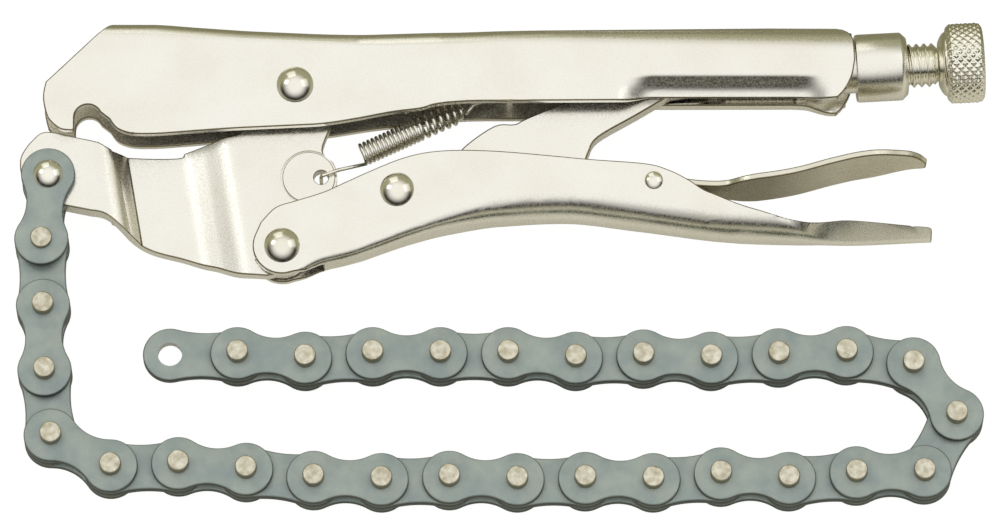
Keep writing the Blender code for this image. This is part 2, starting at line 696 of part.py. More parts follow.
# Adjusting screw
def screw_parts(materials):
    """The sleeve, rod and knob on the screw's axis, measured along it from the handle's rear end."""
    steel, bright = materials
    bore = ROD_RADIUS + CLEARANCE
    spigot = UPPER_REAR_WIDTH / 2 - SHEET - CLEARANCE
    end = CLEARANCE + SLEEVE_LENGTH
    inner_end = CLEARANCE - SLEEVE_SPIGOT
    sleeve_profile = [
        (bore, end), (SLEEVE_RADIUS - SLEEVE_CHAMFER, end), (SLEEVE_RADIUS, end - SLEEVE_CHAMFER),
        (SLEEVE_RADIUS, CLEARANCE), (spigot, CLEARANCE), (spigot, inner_end), (bore, inner_end), (bore, end),
    ]
    sleeve = turned("screw_sleeve", sleeve_profile, FINE, steel, SCREW_SLOPE, SCREW_SEAT)
    tip = TOGGLE_END + OPEN_PIVOT_GAP - TIP_SETBACK
    shoulder = end + ROD_SHOWN
    spigot_end = shoulder + KNOB_LENGTH
    rod_profile = [
        (0, spigot_end), (KNOB_SPIGOT_RADIUS, spigot_end), (KNOB_SPIGOT_RADIUS, shoulder),
        (ROD_RADIUS, shoulder), (ROD_RADIUS, tip + ROD_TIP_CHAMFER), (ROD_RADIUS - ROD_TIP_CHAMFER, tip),
        (0, tip),
    ]
    rod = turned("adjusting_screw", rod_profile, FINE, bright, SCREW_SLOPE, SCREW_SEAT)
    bottom = shoulder + CLEARANCE
    start = bottom + KNOB_SHOULDER
    top = start + KNOB_LENGTH
    knob_bore = KNOB_SPIGOT_RADIUS + CLEARANCE
    ease = KNOB_ROUND * ROUND_SHARE
    knob_profile = [
        (0, top), (KNOB_RADIUS - KNOB_ROUND, top), (KNOB_RADIUS - ease, top - ease),
        (KNOB_RADIUS, top - KNOB_ROUND), (KNOB_RADIUS, start + KNOB_ROUND),
        (KNOB_RADIUS - ease, start + ease), (KNOB_RADIUS - KNOB_ROUND, start),
        (KNOB_SHOULDER_RADIUS, start), (KNOB_SHOULDER_RADIUS, bottom), (knob_bore, bottom),
        (knob_bore, spigot_end + CLEARANCE), (0, spigot_end + CLEARANCE),
    ]
    knob = turned("adjusting_knob", knob_profile, KNOB_FACETS, bright, SCREW_SLOPE, SCREW_SEAT)
    return sleeve, rod, knob


# Spring
def spring_path():
    """The spring's middle line: its front hook, close turns, open turns and straight tail."""
    start = Vector((COIL_START_REACH, -COIL_START_DROP, 0))
    along = polar(1, COIL_SLOPE)
    across = Vector((-along.y, along.x, 0))
    up = Vector((0, 0, 1))
    over = JAW_THICKNESS / 2 + BOSS_HEIGHT + CLEARANCE + WIRE / 2
    points = [SPRING_HOLE - up * over, SPRING_HOLE + up * (over - WIRE / 2)]
    points.append(SPRING_HOLE + up * over + (start - SPRING_HOLE).normalized() * HOOK_OVERHANG)
    travelled = 0
    turns = CLOSE_TURNS + OPEN_TURNS
    for step in range(turns * POINTS_PER_TURN + 1):
        angle = math.radians(COIL_FIRST_ANGLE) + 2 * math.pi * step / POINTS_PER_TURN
        out = up * math.cos(angle) + across * math.sin(angle)
        points.append(start + along * travelled + out * COIL_RADIUS)
        close = step < CLOSE_TURNS * POINTS_PER_TURN
        travelled += (CLOSE_PITCH if close else OPEN_PITCH) / POINTS_PER_TURN
    anchor = start + along * ANCHOR_DISTANCE
    points.append(start + along * (travelled + OPEN_PITCH))
    points.append(anchor - along * (ANCHOR_RADIUS + CLEARANCE))
    return points, anchor


def least_gap(points, wire):
    """The smallest room between two turns of the wire, measured on its points."""
    apart = POINTS_PER_TURN // 2
    pairs = ((a, b) for i, a in enumerate(points) for b in points[i + apart:])
    return min((a - b).length for a, b in pairs) - wire


def tension_spring(material):
    points, anchor = spring_path()
    curve = bpy.data.curves.new("tension_spring", "CURVE")
    curve.dimensions = "3D"
    curve.bevel_depth = WIRE / 2
    curve.bevel_resolution = 1
    curve.use_fill_caps = True
    spline = curve.splines.new("POLY")
    spline.points.add(len(points) - 1)
    for point, place in zip(spline.points, points):
        point.co = (*place, 1)
    print(f"tension_spring: least gap between turns {least_gap(points, WIRE) / MM:.2f} mm")
    return add_object("tension_spring", curve, material), anchor


# Chain
def link_outline(waist):
    """A plate with two round lobes and a drawn-in waist, from its first pin to its second."""
    first = Vector((0, 0, 0))
    second = Vector((CHAIN_PITCH, 0, 0))
    middle = CHAIN_PITCH / 2
    return (
        arc(first, PLATE_LOBE, LOBE_START, 360 - LOBE_START, LOBE_FACETS)
        + [Vector((middle, -waist, 0))]
        + arc(second, PLATE_LOBE, LOBE_START - 180, 180 - LOBE_START, LOBE_FACETS)
        + [Vector((middle, waist, 0))]
    )


def pin_holes(radius):
    places = (Vector((0, 0, 0)), Vector((CHAIN_PITCH, 0, 0)))
    return [arc(place, radius, 0, 360 - 360 / PIN_FACETS, PIN_FACETS - 1) for place in places]


def outer_link_mesh(material):
    """Two plates riveted on two pins, as one shape that every outer link shares."""
    reach = CHAIN_HALF + PIN_PROUD
    middle = CHAIN_HALF - OUTER_PLATE / 2
    thing = plate("outer_link", [link_outline(OUTER_WAIST)], OUTER_PLATE, material, z=middle)
    far = plate("far_plate_join", [link_outline(OUTER_WAIST)], OUTER_PLATE, helper=True, z=-middle)
    boolean(thing, far, "UNION")
    for name, x in (("first_pin_join", 0), ("second_pin_join", CHAIN_PITCH)):
        boolean(thing, drum(name, CHAIN_PIN_RADIUS, -reach, reach, Vector((x, 0, 0)), PIN_FACETS), "UNION")
    bake(thing)
    shade(thing)
    mesh = thing.data
    bpy.data.objects.remove(thing, do_unlink=True)
    return mesh


def first_link(plates, bright):
    """The link that straddles the jaw's nose: two loose plates, their pin and the domed rivet."""
    holes = pin_holes(PIN_HOLE)
    middle = FIRST_LINK_INNER + OUTER_PLATE / 2
    near = plate("first_link_near_plate", [link_outline(OUTER_WAIST), *holes], OUTER_PLATE, plates, z=middle)
    far = plate("first_link_far_plate", [link_outline(OUTER_WAIST), *holes], OUTER_PLATE, plates, z=-middle)
    reach = CHAIN_HALF + PIN_PROUD
    end = Vector((CHAIN_PITCH, 0, 0))
    pin = drum("first_link_pin", CHAIN_PIN_RADIUS, -reach, reach, end, PIN_FACETS, False, bright)
    sizes = (CHAIN_PIN_RADIUS, *CHAIN_RIVET_HEAD)
    head = rivet("chain_rivet", sizes, FIRST_LINK_INNER + OUTER_PLATE, Vector((0, 0, 0)), bright)
    return near, far, pin, head


def chain(jaw_part, materials):
    """Outer and inner links by turns, each hung on the end of the one before and turned to its heading."""
    plates, bright = materials
    near, far, pin, head = first_link(plates, bright)
    for piece in (far, pin, head):
        piece.parent = near
    near.location = CHAIN_PIVOT
    near.rotation_euler.z = math.radians(LINK_HEADINGS[0])
    hang(near, jaw_part)
    outer = outer_link_mesh(plates)
    inner_rims = [link_outline(INNER_WAIST), *pin_holes(PIN_HOLE)]
    inner = plate("inner_link_guide", inner_rims, INNER_PLATE, plates, True)
    before = near
    for number in range(1, len(LINK_HEADINGS)):
        kind = "inner_link" if number % 2 else "outer_link"
        link = add_object(f"{kind}_{number:02d}", inner.data if number % 2 else outer)
        link.parent = before
        link.location = (CHAIN_PITCH, 0, 0)
        link.rotation_euler.z = math.radians(LINK_HEADINGS[number] - LINK_HEADINGS[number - 1])
        before = link
    bpy.data.objects.remove(inner, do_unlink=True)


def bounds():
    bpy.context.view_layer.update()
    graph = bpy.context.evaluated_depsgraph_get()
    low = Vector((math.inf,) * 3)
    high = -low
    for thing in clamp.objects:
        if thing.type == "EMPTY":
            continue
        solid = thing.evaluated_get(graph)
        mesh = solid.to_mesh()
        for vertex in mesh.vertices:
            place = solid.matrix_world @ vertex.co
            low = Vector(map(min, low, place))
            high = Vector(map(max, high, place))
        solid.to_mesh_clear()
    return low, high


def build():
    steel = finish_material("satin_nickel", STEEL_WHITE, 1, 0.35)
    bright = finish_material("bright_steel", STEEL_BRIGHT, 1, 0.2)
    blue = finish_material("blued_steel", CHAIN_BLUE, 0.6, 0.45)
    tan = finish_material("pin_steel", PIN_TAN, 0.9, 0.35)

    frame = add_object("clamp_frame", None)
    upper = upper_handle(steel)
    hang(upper, frame)
    jaw_part = jaw(steel)
    hang(jaw_part, upper)
    lower = lower_handle(steel)
    put_on_axis(lower, HANDLE_PIVOT, jaw_part)
    toggle = toggle_link(steel)
    put_on_axis(toggle, TOGGLE_PIVOT, lower)
    lever = release_lever(steel)
    put_on_axis(lever, LEVER_PIVOT, lower)

    hang(rivet("jaw_rivet", JAW_RIVET, UPPER_FRONT_HALF, JAW_PIVOT, bright), upper)
    for name, sizes, half, centre in (
        ("lower_handle_rivet", HANDLE_RIVET, LOWER_FRONT_HALF, HANDLE_PIVOT),
        ("toggle_rivet", TOGGLE_RIVET, LOWER_TOGGLE_HALF, TOGGLE_PIVOT),
        ("lever_rivet", LEVER_RIVET, LOWER_REAR_WIDTH / 2, LEVER_PIVOT),
    ):
        put_on_axis(rivet(name, sizes, half, centre, bright), centre, lower)
    bore = JAW_RIVET[0] + CLEARANCE
    inside = UPPER_FRONT_HALF - SHEET - CLEARANCE
    face = JAW_THICKNESS / 2 + CLEARANCE
    hang(ring("jaw_washer_near", bore, WASHER_RADIUS, face, inside, JAW_PIVOT, steel), upper)
    hang(ring("jaw_washer_far", bore, WASHER_RADIUS, -inside, -face, JAW_PIVOT, steel), upper)

    sleeve, rod, knob = screw_parts((steel, bright))
    hang(sleeve, upper)
    put_on_axis(rod, SCREW_SEAT, upper)
    put_on_axis(knob, SCREW_SEAT, rod)
    spring, anchor = tension_spring(bright)
    hang(spring, upper)
    anchor_half = UPPER_REAR_WIDTH / 2 - SHEET - CLEARANCE
    anchor_pin = drum("spring_anchor", ANCHOR_RADIUS, -anchor_half, anchor_half, anchor, COARSE, False, bright)
    hang(anchor_pin, upper)
    chain(jaw_part, (blue, tan))

    low, high = bounds()
    frame.location = (-(low.x + high.x) / 2, -(low.y + high.y) / 2, -low.z)
    print("size in mm:", [round(side / MM, 1) for side in high - low])
    print("jaw pivot stands at, in mm:", [round(side / MM, 3) for side in frame.location])


clear_scene()
clamp = new_collection("chain_clamp")
cutters = new_collection("cutters")
build()
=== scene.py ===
# %% [markdown]
# # A locking chain clamp, dressed for the camera
#
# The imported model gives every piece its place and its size. This lesson gives each piece the shape and
# finish that the eye expects: pressed and plated steel sheet, turned and knurled steel, and a blue-grey
# chain. Everything is measured from the jaw's pivot, because the real tool is laid out from it too.

import json
import math

import bmesh
import bpy
import numpy as np
from mathutils import Matrix, Vector


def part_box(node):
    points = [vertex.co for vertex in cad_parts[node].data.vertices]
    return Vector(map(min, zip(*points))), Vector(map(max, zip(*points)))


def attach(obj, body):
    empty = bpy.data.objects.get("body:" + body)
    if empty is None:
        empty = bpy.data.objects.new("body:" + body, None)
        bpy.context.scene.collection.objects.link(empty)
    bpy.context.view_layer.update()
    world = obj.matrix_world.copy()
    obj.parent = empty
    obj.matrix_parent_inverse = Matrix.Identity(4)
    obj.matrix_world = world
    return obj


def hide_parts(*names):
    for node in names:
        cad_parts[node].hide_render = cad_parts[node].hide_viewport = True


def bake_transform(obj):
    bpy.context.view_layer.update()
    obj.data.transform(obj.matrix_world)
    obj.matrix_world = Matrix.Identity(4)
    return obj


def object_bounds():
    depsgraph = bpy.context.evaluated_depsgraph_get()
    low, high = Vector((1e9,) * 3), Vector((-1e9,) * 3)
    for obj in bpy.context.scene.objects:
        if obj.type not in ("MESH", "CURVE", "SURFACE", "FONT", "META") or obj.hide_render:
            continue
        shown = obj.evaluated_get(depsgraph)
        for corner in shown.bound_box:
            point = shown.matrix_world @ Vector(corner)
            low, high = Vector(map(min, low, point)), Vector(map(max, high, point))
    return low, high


MM = 0.001
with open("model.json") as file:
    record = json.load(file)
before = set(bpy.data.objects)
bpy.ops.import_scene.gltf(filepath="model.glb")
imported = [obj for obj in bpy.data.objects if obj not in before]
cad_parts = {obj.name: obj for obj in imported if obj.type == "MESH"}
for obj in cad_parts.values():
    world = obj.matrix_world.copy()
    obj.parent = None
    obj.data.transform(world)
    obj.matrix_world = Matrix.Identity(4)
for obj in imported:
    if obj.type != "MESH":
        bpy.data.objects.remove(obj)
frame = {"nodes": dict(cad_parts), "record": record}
packed_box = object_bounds()
joints = {joint["name"]: joint for joint in frame["record"]["behaviour"]["joints"]}
pivot = Vector(joints["jaw_pivot"]["pos_m"])


def new_object(name, data):
    thing = bpy.data.objects.new(name, data)
    bpy.context.scene.collection.objects.link(thing)
    return thing


# %% [markdown]
# ## The camera
#
# The photograph looks almost straight down on the tool, from a little below it, so that the lower edges of
# the handles and of the chain's plates show. A long lens from 2.4 metres gives the same flat perspective.

# %% Aim the camera
TILT = math.radians(16.6)
DISTANCE = 2.4
PIXEL = 0.2352 * MM
PIXELS_ACROSS = 1000
PICTURE_MIDDLE = (48.34, -42.56, 0)  # mm from the jaw's pivot
aim = pivot + Vector(PICTURE_MIDDLE) * MM
camera = new_object("camera", bpy.data.cameras.new("camera"))
camera.location = aim + Vector((0, -math.sin(TILT), math.cos(TILT))) * DISTANCE
camera.rotation_euler = (TILT, 0, 0)
camera.data.sensor_width = 36
camera.data.lens = DISTANCE / (PIXEL * PIXELS_ACROSS) * camera.data.sensor_width
camera.data.clip_start = 0.1
bpy.context.scene.camera = camera
bpy.context.scene.view_settings.view_transform = "Standard"
print(f"lens of {camera.data.lens:.0f} mm, one pixel covers {PIXEL / MM:.3f} mm of the tool")

# %% [markdown]
# ## Nodes, numbers and colours
#
# Every material and many shapes below are small graphs of nodes. One function adds a node, sets its options
# and wires its inputs. A number inside a graph can be written in plain arithmetic, which adds the Math nodes.
# One function turns the colours that painters write in hex into the linear numbers of Blender.

# %% Helpers for nodes, numbers and colours
def add(tree, kind, inputs=None, **settings):
    node = tree.nodes.new(kind)
    for name, value in settings.items():
        setattr(node, name, value)
    for key, value in (inputs or {}).items():
        value = getattr(value, "socket", value)
        if isinstance(value, bpy.types.NodeSocket):
            tree.links.new(value, node.inputs[key])
        else:
            node.inputs[key].default_value = value
    return node


def math_node(tree, operation, *values):
    return Number(add(tree, "ShaderNodeMath", dict(enumerate(values)), operation=operation).outputs[0])


class Number:
    """A number inside a tree. Arithmetic with it adds Math nodes and gives another such number."""

    def __init__(self, socket):
        self.socket = socket

    def do(self, operation, *others):
        return math_node(self.socket.id_data, operation, self, *others)

    def __add__(self, other):
        return self.do("ADD", other)

    def __sub__(self, other):
        return self.do("SUBTRACT", other)

    def __rsub__(self, other):
        return math_node(self.socket.id_data, "SUBTRACT", other, self)

    def __mul__(self, other):
        return self.do("MULTIPLY", other)

    def __truediv__(self, other):
        return self.do("DIVIDE", other)

    def __pow__(self, other):
        return self.do("POWER", other)

    def __lt__(self, other):
        return self.do("LESS_THAN", other)

    def __abs__(self):
        return self.do("ABSOLUTE")


def linear(code):
    channels = [int(code[i : i + 2], 16) / 255 for i in (1, 3, 5)]
    return (*[c / 12.92 if c <= 0.04045 else ((c + 0.055) / 1.055) ** 2.4 for c in channels], 1)


def ramp(tree, value, low, high, first=0.0, last=1.0, rule="LINEAR"):
    """A number that goes from first to last while the value goes from low to high."""
    sizes = {0: value, 1: low, 2: high, 3: first, 4: last}
    return Number(add(tree, "ShaderNodeMapRange", sizes, interpolation_type=rule).outputs[0])


def mix(tree, share, first, second):
    """A colour between two others, each a hex code or the colour of a node."""
    first, second = (linear(c) if isinstance(c, str) else c for c in (first, second))
    return add(tree, "ShaderNodeMix", {0: share, 6: first, 7: second}, data_type="RGBA").outputs[2]


def parts_of(tree, vector):
    """The three numbers in a vector."""
    split = add(tree, "ShaderNodeSeparateXYZ", {0: vector})
    return [Number(split.outputs[axis]) for axis in "XYZ"]


print("white is", linear("#ffffff"), "and mid grey is", [round(c, 3) for c in linear("#808080")])

# %% [markdown]
# ## A light tent
#
# Bright metal shows what stands round it. A product photographer hangs a white tent over it and leaves a
# darker ring near the table, and that ring draws the dark lines along every rounded edge. The sky here does
# the same: white overhead and olive low down behind. In front the ring is nearly black and turns light again
# close to the horizon, so that a wall shows a light foot under its dark line. The card under the tool is
# white to the camera. In the metal it shows less bright, and behind the tool it is painted olive, a painted
# shade that the metal mirrors. Three soft lamps add a direction.

# %% The tent, the floor and the lamps
WHITE_CLOTH = 0.42, 0.93  # heights where it starts and is full, from 0 at the horizon to 1 overhead
DARK_BAND = 0.4, 0.16  # heights of the front ring's darkest line and of its light foot
TURN_TO_OLIVE = -0.3, 0.6  # how far backwards the ring starts to turn olive and is olive
TENT_STRENGTH = 0.93
world = bpy.data.worlds.new("tent")
bpy.context.scene.world = world
world.use_nodes = True
sky = world.node_tree
sky.nodes.clear()
_, backwards, height = parts_of(sky, add(sky, "ShaderNodeTexCoord").outputs["Generated"])
front = mix(sky, ramp(sky, height, *DARK_BAND, rule="SMOOTHSTEP"), "#14130d", "#bab7a2")
ring = mix(sky, ramp(sky, backwards, *TURN_TO_OLIVE, rule="SMOOTHSTEP"), front, "#a19f82")
cloth = mix(sky, ramp(sky, height, *WHITE_CLOTH, rule="SMOOTHSTEP"), ring, "#fffefa")
tent = add(sky, "ShaderNodeBackground", {"Color": cloth, "Strength": TENT_STRENGTH})
paper = add(sky, "ShaderNodeBackground", {"Color": linear("#ffffff"), "Strength": 1.0})
to_camera = add(sky, "ShaderNodeLightPath").outputs["Is Camera Ray"]
seen = add(sky, "ShaderNodeMixShader", {0: to_camera, 1: tent.outputs[0], 2: paper.outputs[0]})
add(sky, "ShaderNodeOutputWorld", {"Surface": seen.outputs[0]})

FLOOR_SIZE, FLOOR_GAP = 3, 0.1 * MM
# behind the tool the card, as the metal shows it, is painted into an olive shade
CARD_SHADE_BEHIND = aim.y + 30 * MM, aim.y + 70 * MM  # where the card, as the metal shows it, fades to olive
GLOW, GLOW_TO_CAMERA, GLOW_IN_METAL = 1.08, 0.9, 0.25
floor_mesh = bpy.data.meshes.new("floor")
shape = bmesh.new()
bmesh.ops.create_grid(shape, x_segments=1, y_segments=1, size=FLOOR_SIZE)
shape.to_mesh(floor_mesh)
shape.free()
floor = new_object("floor", floor_mesh)
floor.location.z = packed_box[0][2] - FLOOR_GAP
card = bpy.data.materials.new("white_card")
card.use_nodes = True
tree = card.node_tree
tree.nodes.clear()
rays = add(tree, "ShaderNodeLightPath").outputs
to_camera, to_metal = Number(rays["Is Camera Ray"]), Number(rays["Is Glossy Ray"])
share = (to_metal * GLOW_IN_METAL).do("MAXIMUM", to_camera * GLOW_TO_CAMERA)
_, ground, _ = parts_of(tree, add(tree, "ShaderNodeTexCoord").outputs["Object"])
# the card as the metal sees it: light in front, a painted olive shade behind the tool
card_in_metal_shaded = mix(tree, ramp(tree, ground, *CARD_SHADE_BEHIND), "#e6e3d4", "#8f8c70")
lit = add(tree, "ShaderNodeBsdfDiffuse", {"Color": mix(tree, to_camera, card_in_metal_shaded, "#f6f6f6")})
glow = add(tree, "ShaderNodeEmission", {"Color": mix(tree, to_camera, card_in_metal_shaded, "#ffffff"), "Strength": GLOW})
mixed = add(tree, "ShaderNodeMixShader", {0: share, 1: lit.outputs[0], 2: glow.outputs[0]})
add(tree, "ShaderNodeOutputMaterial", {"Surface": mixed.outputs[0]})
floor_mesh.materials.append(card)

# name, place in metres from the aim, size in metres, power in watts
LAMPS = [
    ("soft_box", (-0.95, 0.5, 1.0), 0.42, 0.7), ("key_lamp", (-0.5, 1.6, 0.9), 1.0, 1.8),
    ("fill_box", (0.9, 0.4, 0.9), 0.8, 0.8),
]
for name, place, size, power in LAMPS:
    data = bpy.data.lights.new(name, "AREA")
    data.size = size
    data.energy = power
    thing = new_object(name, data)
    thing.location = aim + Vector(place)
    thing.rotation_euler = (aim - thing.location).to_track_quat("-Z", "Y").to_euler()
print("tent, floor and", len(LAMPS), "lamps")

# %% [markdown]
# ## The finishes
#
# The tool is pressed steel with a satin nickel plate: warm white, with a fine grain that breaks up its
# reflections. Its eased edges are worn darker and carry a painted shade, and the walls of the release lever
# carry a painted shade for the dark channel they mirror. Rivets, screw and knob are brighter. The chain's
# plates are blue-grey from their heat treatment, almost matt, and its pins are bare turned steel; the walls
# of both are painted darker, a painted shade.

# %% Nickel, worn and shaded edges, blued steel and pin steel
CLOUD, GRAIN = (0.32, 0.68), (0.3, 0.7)  # the span of the noise over which the tone and the roughness change
# the walls' painted shade: where it ends and where the face colour is full, and how far it fades along X
SHADED_WALL_TO_FACE = 0.35, 0.85  # how far a surface looks up where its rim colour ends and its face is full
WALL_SHADE_FADED = 0.7


def metal(name, code, second, roughness, grain, depth, spread=0.08, metallic=1.0, rim=None, fade=None,
          patch=14 * MM):
    """A metal whose colour wanders between two tones, with a fine grain of a real size in its surface.

    A rim colour is a painted shade for the walls: the less a surface looks up, the more of this darker colour
    it takes. It may fade to the faces' colour between two places along X.
    """
    material = bpy.data.materials.new(name)
    material.use_nodes = True
    tree = material.node_tree
    shader = tree.nodes["Principled BSDF"]
    where = add(tree, "ShaderNodeTexCoord").outputs["Object"]
    cloud = add(tree, "ShaderNodeTexNoise", {"Vector": where, "Scale": 1 / patch, "Detail": 4}).outputs[0]
    tone = mix(tree, ramp(tree, cloud, *CLOUD), code, second)
    if rim:
        # painted shade on walls: the less a surface looks up, the more it takes the rim colour
        up = parts_of(tree, add(tree, "ShaderNodeNewGeometry").outputs["Normal"])[2]
        if fade:
            along = parts_of(tree, where)[0]
            rim = mix(tree, ramp(tree, along, *fade, 0.0, WALL_SHADE_FADED), rim, tone)
        tone = mix(tree, ramp(tree, abs(up), *SHADED_WALL_TO_FACE), rim, tone)
    tree.links.new(tone, shader.inputs["Base Color"])
    fine = add(tree, "ShaderNodeTexNoise", {"Vector": where, "Scale": 1 / grain, "Detail": 2}).outputs[0]
    rough = ramp(tree, fine, *GRAIN, roughness - spread, roughness + spread)
    tree.links.new(rough.socket, shader.inputs["Roughness"])
    bump = add(tree, "ShaderNodeBump", {"Height": fine, "Distance": depth, "Strength": 1.0})
    tree.links.new(bump.outputs[0], shader.inputs["Normal"])
    shader.inputs["Metallic"].default_value = metallic
    return material


satin_nickel = metal("satin_nickel", "#fdfbf5", "#f8f5ec", 0.25, 0.5 * MM, 0.0028 * MM)
# the eased edges: worn darker, and with a painted shade that draws a dark line along each edge
worn_and_shaded_edge = metal("worn_and_shaded_nickel_edge", "#a29a80", "#7d765f", 0.4, 0.5 * MM, 0.004 * MM)
# the lever's nickel: its walls take a painted shade for the dark channel they mirror, fading along X
lever_nickel_painted_shade = metal("lever_nickel_painted_shade", "#f3efe2", "#e6e1d0", 0.3, 0.5 * MM, 0.006 * MM, rim="#a39c84",
                       fade=(pivot.x + 112 * MM, pivot.x + 128 * MM))
bright_nickel = metal("bright_nickel", "#fffdf5", "#f5f2e5", 0.15, 0.8 * MM, 0.002 * MM, 0.03)
# the plates' walls take a dark rim colour, a painted shade on the edges that look sideways
blued_steel = metal("blued_steel", "#b6c1bb", "#a2afb0", 0.45, 0.35 * MM, 0.012 * MM, 0.1, 0.6, "#4a5250",
                    patch=5 * MM)
# the pins' turned sides take a darker rim colour, a painted shade under the light from above
pin_steel = metal("pin_steel", "#efebdb", "#c0b9a2", 0.34, 0.5 * MM, 0.012 * MM, rim="#a8a18b",
                  patch=1.6 * MM)
FINISH = {"satin_nickel": satin_nickel, "bright_steel": bright_nickel, "blued_steel": blued_steel,
          "pin_steel": pin_steel}
for part in frame["record"]["subparts"]:
    thing = frame["nodes"][part["node"]]
    thing.data.materials.clear()
    thing.data.materials.append(FINISH[part["material_slot"]])
print("finishes:", ", ".join(FINISH))

# %% [markdown]
# ## Drawing in millimetres
#
# The sheet-metal shapes below are drawn on the tool's middle plane, in millimetres from its datum, a point
# just under the jaw's rivet. Long smooth edges are drawn with few points and a spline through them.

# %% Helpers for places and outlines
DATUM_DROP = 0.6
datum = pivot - Vector((0, DATUM_DROP, 0)) * MM


def at(x, y, z=0.0):
    return datum + Vector((x, y, z)) * MM


def polar(centre, radius, degrees):
    angle = math.radians(degrees)
    return (centre[0] + radius * math.cos(angle), centre[1] + radius * math.sin(angle))


def arc(centre, radius, first, last, steps):
    return [polar(centre, radius, first + (last - first) * step / steps) for step in range(steps + 1)]


def hole(centre, radius, steps):
    """A full circle, without its first point again at the end."""
    return arc(centre, radius, 0, 360 - 360 / steps, steps - 1)


def shares(origin, width, height, points):
    """Places from an origin, given as shares of a width and of a height."""
    return [(origin[0] + x * width, origin[1] + y * height) for x, y in points]


def spline(points, steps=5):
    """A smooth line through the points, by the Catmull-Rom rule, with its two end points kept."""
    ring = [points[0], *points, points[-1]]
    line = []
    for a, b, c, d in zip(ring, ring[1:], ring[2:], ring[3:]):
        a, b, c, d = map(np.array, (a, b, c, d))
        for t in np.arange(steps) / steps:
            line.append(tuple(b + (c - a) * t / 2 + (2 * a - 5 * b + 4 * c - d) * t**2 / 2
                              + (3 * b - a - 3 * c + d) * t**3 / 2))
    return line + [tuple(points[-1])]


def beside(line, distances):
    """Points beside a line, each at its own distance to the left of the line's way."""
    moved = []
    for before, here, after, distance in zip([line[0], *line], line, [*line[1:], line[-1]], distances):
        way = Vector((after[0] - before[0], after[1] - before[1])).normalized()
        moved.append((here[0] - way.y * distance, here[1] + way.x * distance))
    return moved


print("datum at", tuple(round(v / MM, 2) for v in datum))


# %% Helpers for pieces
def dress(thing, body, slot, *nodes):
    """Give a finished piece its place in the model."""
    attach(thing, body)
    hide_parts(*nodes)


def evaluated_mesh(thing):
    bpy.context.view_layer.update()
    return bpy.data.meshes.new_from_object(thing.evaluated_get(bpy.context.evaluated_depsgraph_get()))


def bake(thing):
    """Make the modifiers part of the mesh and remove them."""
    thing.data = evaluated_mesh(thing)
    thing.modifiers.clear()


def drawn(name, shape):
    """Turn the faces of a drawing outwards and make it an object."""
    bmesh.ops.recalc_face_normals(shape, faces=shape.faces)
    mesh = bpy.data.meshes.new(name)
    shape.to_mesh(mesh)
    shape.free()
    return new_object(name, mesh)


def plate(name, outline, low, high):
    """A flat plate with a drawn rim, between two heights above the middle plane."""
    shape = bmesh.new()
    face = shape.faces.new([shape.verts.new(at(x, y, low)) for x, y in outline])
    raised = bmesh.ops.extrude_face_region(shape, geom=[face])["geom"]
    corners = [v for v in raised if isinstance(v, bmesh.types.BMVert)]
    bmesh.ops.translate(shape, verts=corners, vec=Vector((0, 0, high - low)) * MM)
    return drawn(name, shape)


def loft(name, loops, ring=False):
    """A skin over loops of points, each joined to the next. It gets two end faces, or else it is a ring."""
    shape = bmesh.new()
    rows = [[shape.verts.new(spot) for spot in loop] for loop in loops]
    for first, second in zip(rows, rows[1:] + rows[:1] if ring else rows[1:]):
        for corners in zip(first, first[1:] + first[:1], second[1:] + second[:1], second):
            shape.faces.new(corners)
    if not ring:
        shape.faces.new(rows[0])
        shape.faces.new(rows[-1])
    return drawn(name, shape)


def cut(thing, other, operation="DIFFERENCE"):
    """Join or cut with another object, which is then removed."""
    step = thing.modifiers.new(operation.title(), "BOOLEAN")
    step.operation = operation
    step.solver = "EXACT"
    step.object = other
    bake(thing)
    bpy.data.objects.remove(other, do_unlink=True)


FINE_GAP, WIDE_GAP = 0.01, 0.1
FLAT_ENOUGH = math.radians(0.6)
STAYS_SHARP = math.radians(55)
BIG_FACES_FIRST = 80


def ease_edges(thing, width, angle=32, segments=2, gap=FINE_GAP):
    """Round the sharp edges a little, as tumbling does before plating, and shade the rest smooth.

    The rounded edges get the second material. Points closer than the gap are merged and flat faces joined
    first. A bevel is held to the shortest edge of the whole mesh, so where cutting has left short ones, the
    gap is wide and the bevel is not held.
    """
    if not thing.data.materials:
        thing.data.materials.append(satin_nickel)
        thing.data.materials.append(worn_and_shaded_edge)
    shape = bmesh.new()
    shape.from_mesh(thing.data)
    bmesh.ops.remove_doubles(shape, verts=shape.verts, dist=gap * MM)
    bmesh.ops.dissolve_degenerate(shape, edges=shape.edges, dist=gap * MM)
    bmesh.ops.dissolve_limit(shape, angle_limit=FLAT_ENOUGH, verts=shape.verts, edges=shape.edges)
    shape.to_mesh(thing.data)
    shape.free()
    step = thing.modifiers.new("Ease", "BEVEL")
    step.width = width * MM
    step.segments = segments
    step.limit_method = "ANGLE"
    step.angle_limit = math.radians(angle)
    step.use_clamp_overlap = gap == FINE_GAP
    # the rounded edges take the second material: wear with a painted shade line along them
    step.material = 1
    bake(thing)
    thing.data.shade_smooth()
    thing.data.set_sharp_from_angle(angle=STAYS_SHARP)
    flat = thing.modifiers.new("Flat faces first", "WEIGHTED_NORMAL")
    flat.keep_sharp = True
    flat.weight = BIG_FACES_FIRST
    bake(thing)


print("helpers for pieces")

# %% [markdown]
# ## The two handles
#
# Each handle is one strip of steel bent into a channel. Its section changes along the handle, so it is
# lofted: a table gives the section at a few stations and a smooth rule fills in between them. The strip's own
# outline, with the hooks and the waists, was blanked before bending, so it is cut from the side.

# %% Loft a bent sheet channel
SHEET = 2.2
LIP_BEND, LIP_REST = 1.9, 4.9
BEND_STEPS, REST_STEPS = 6, 8
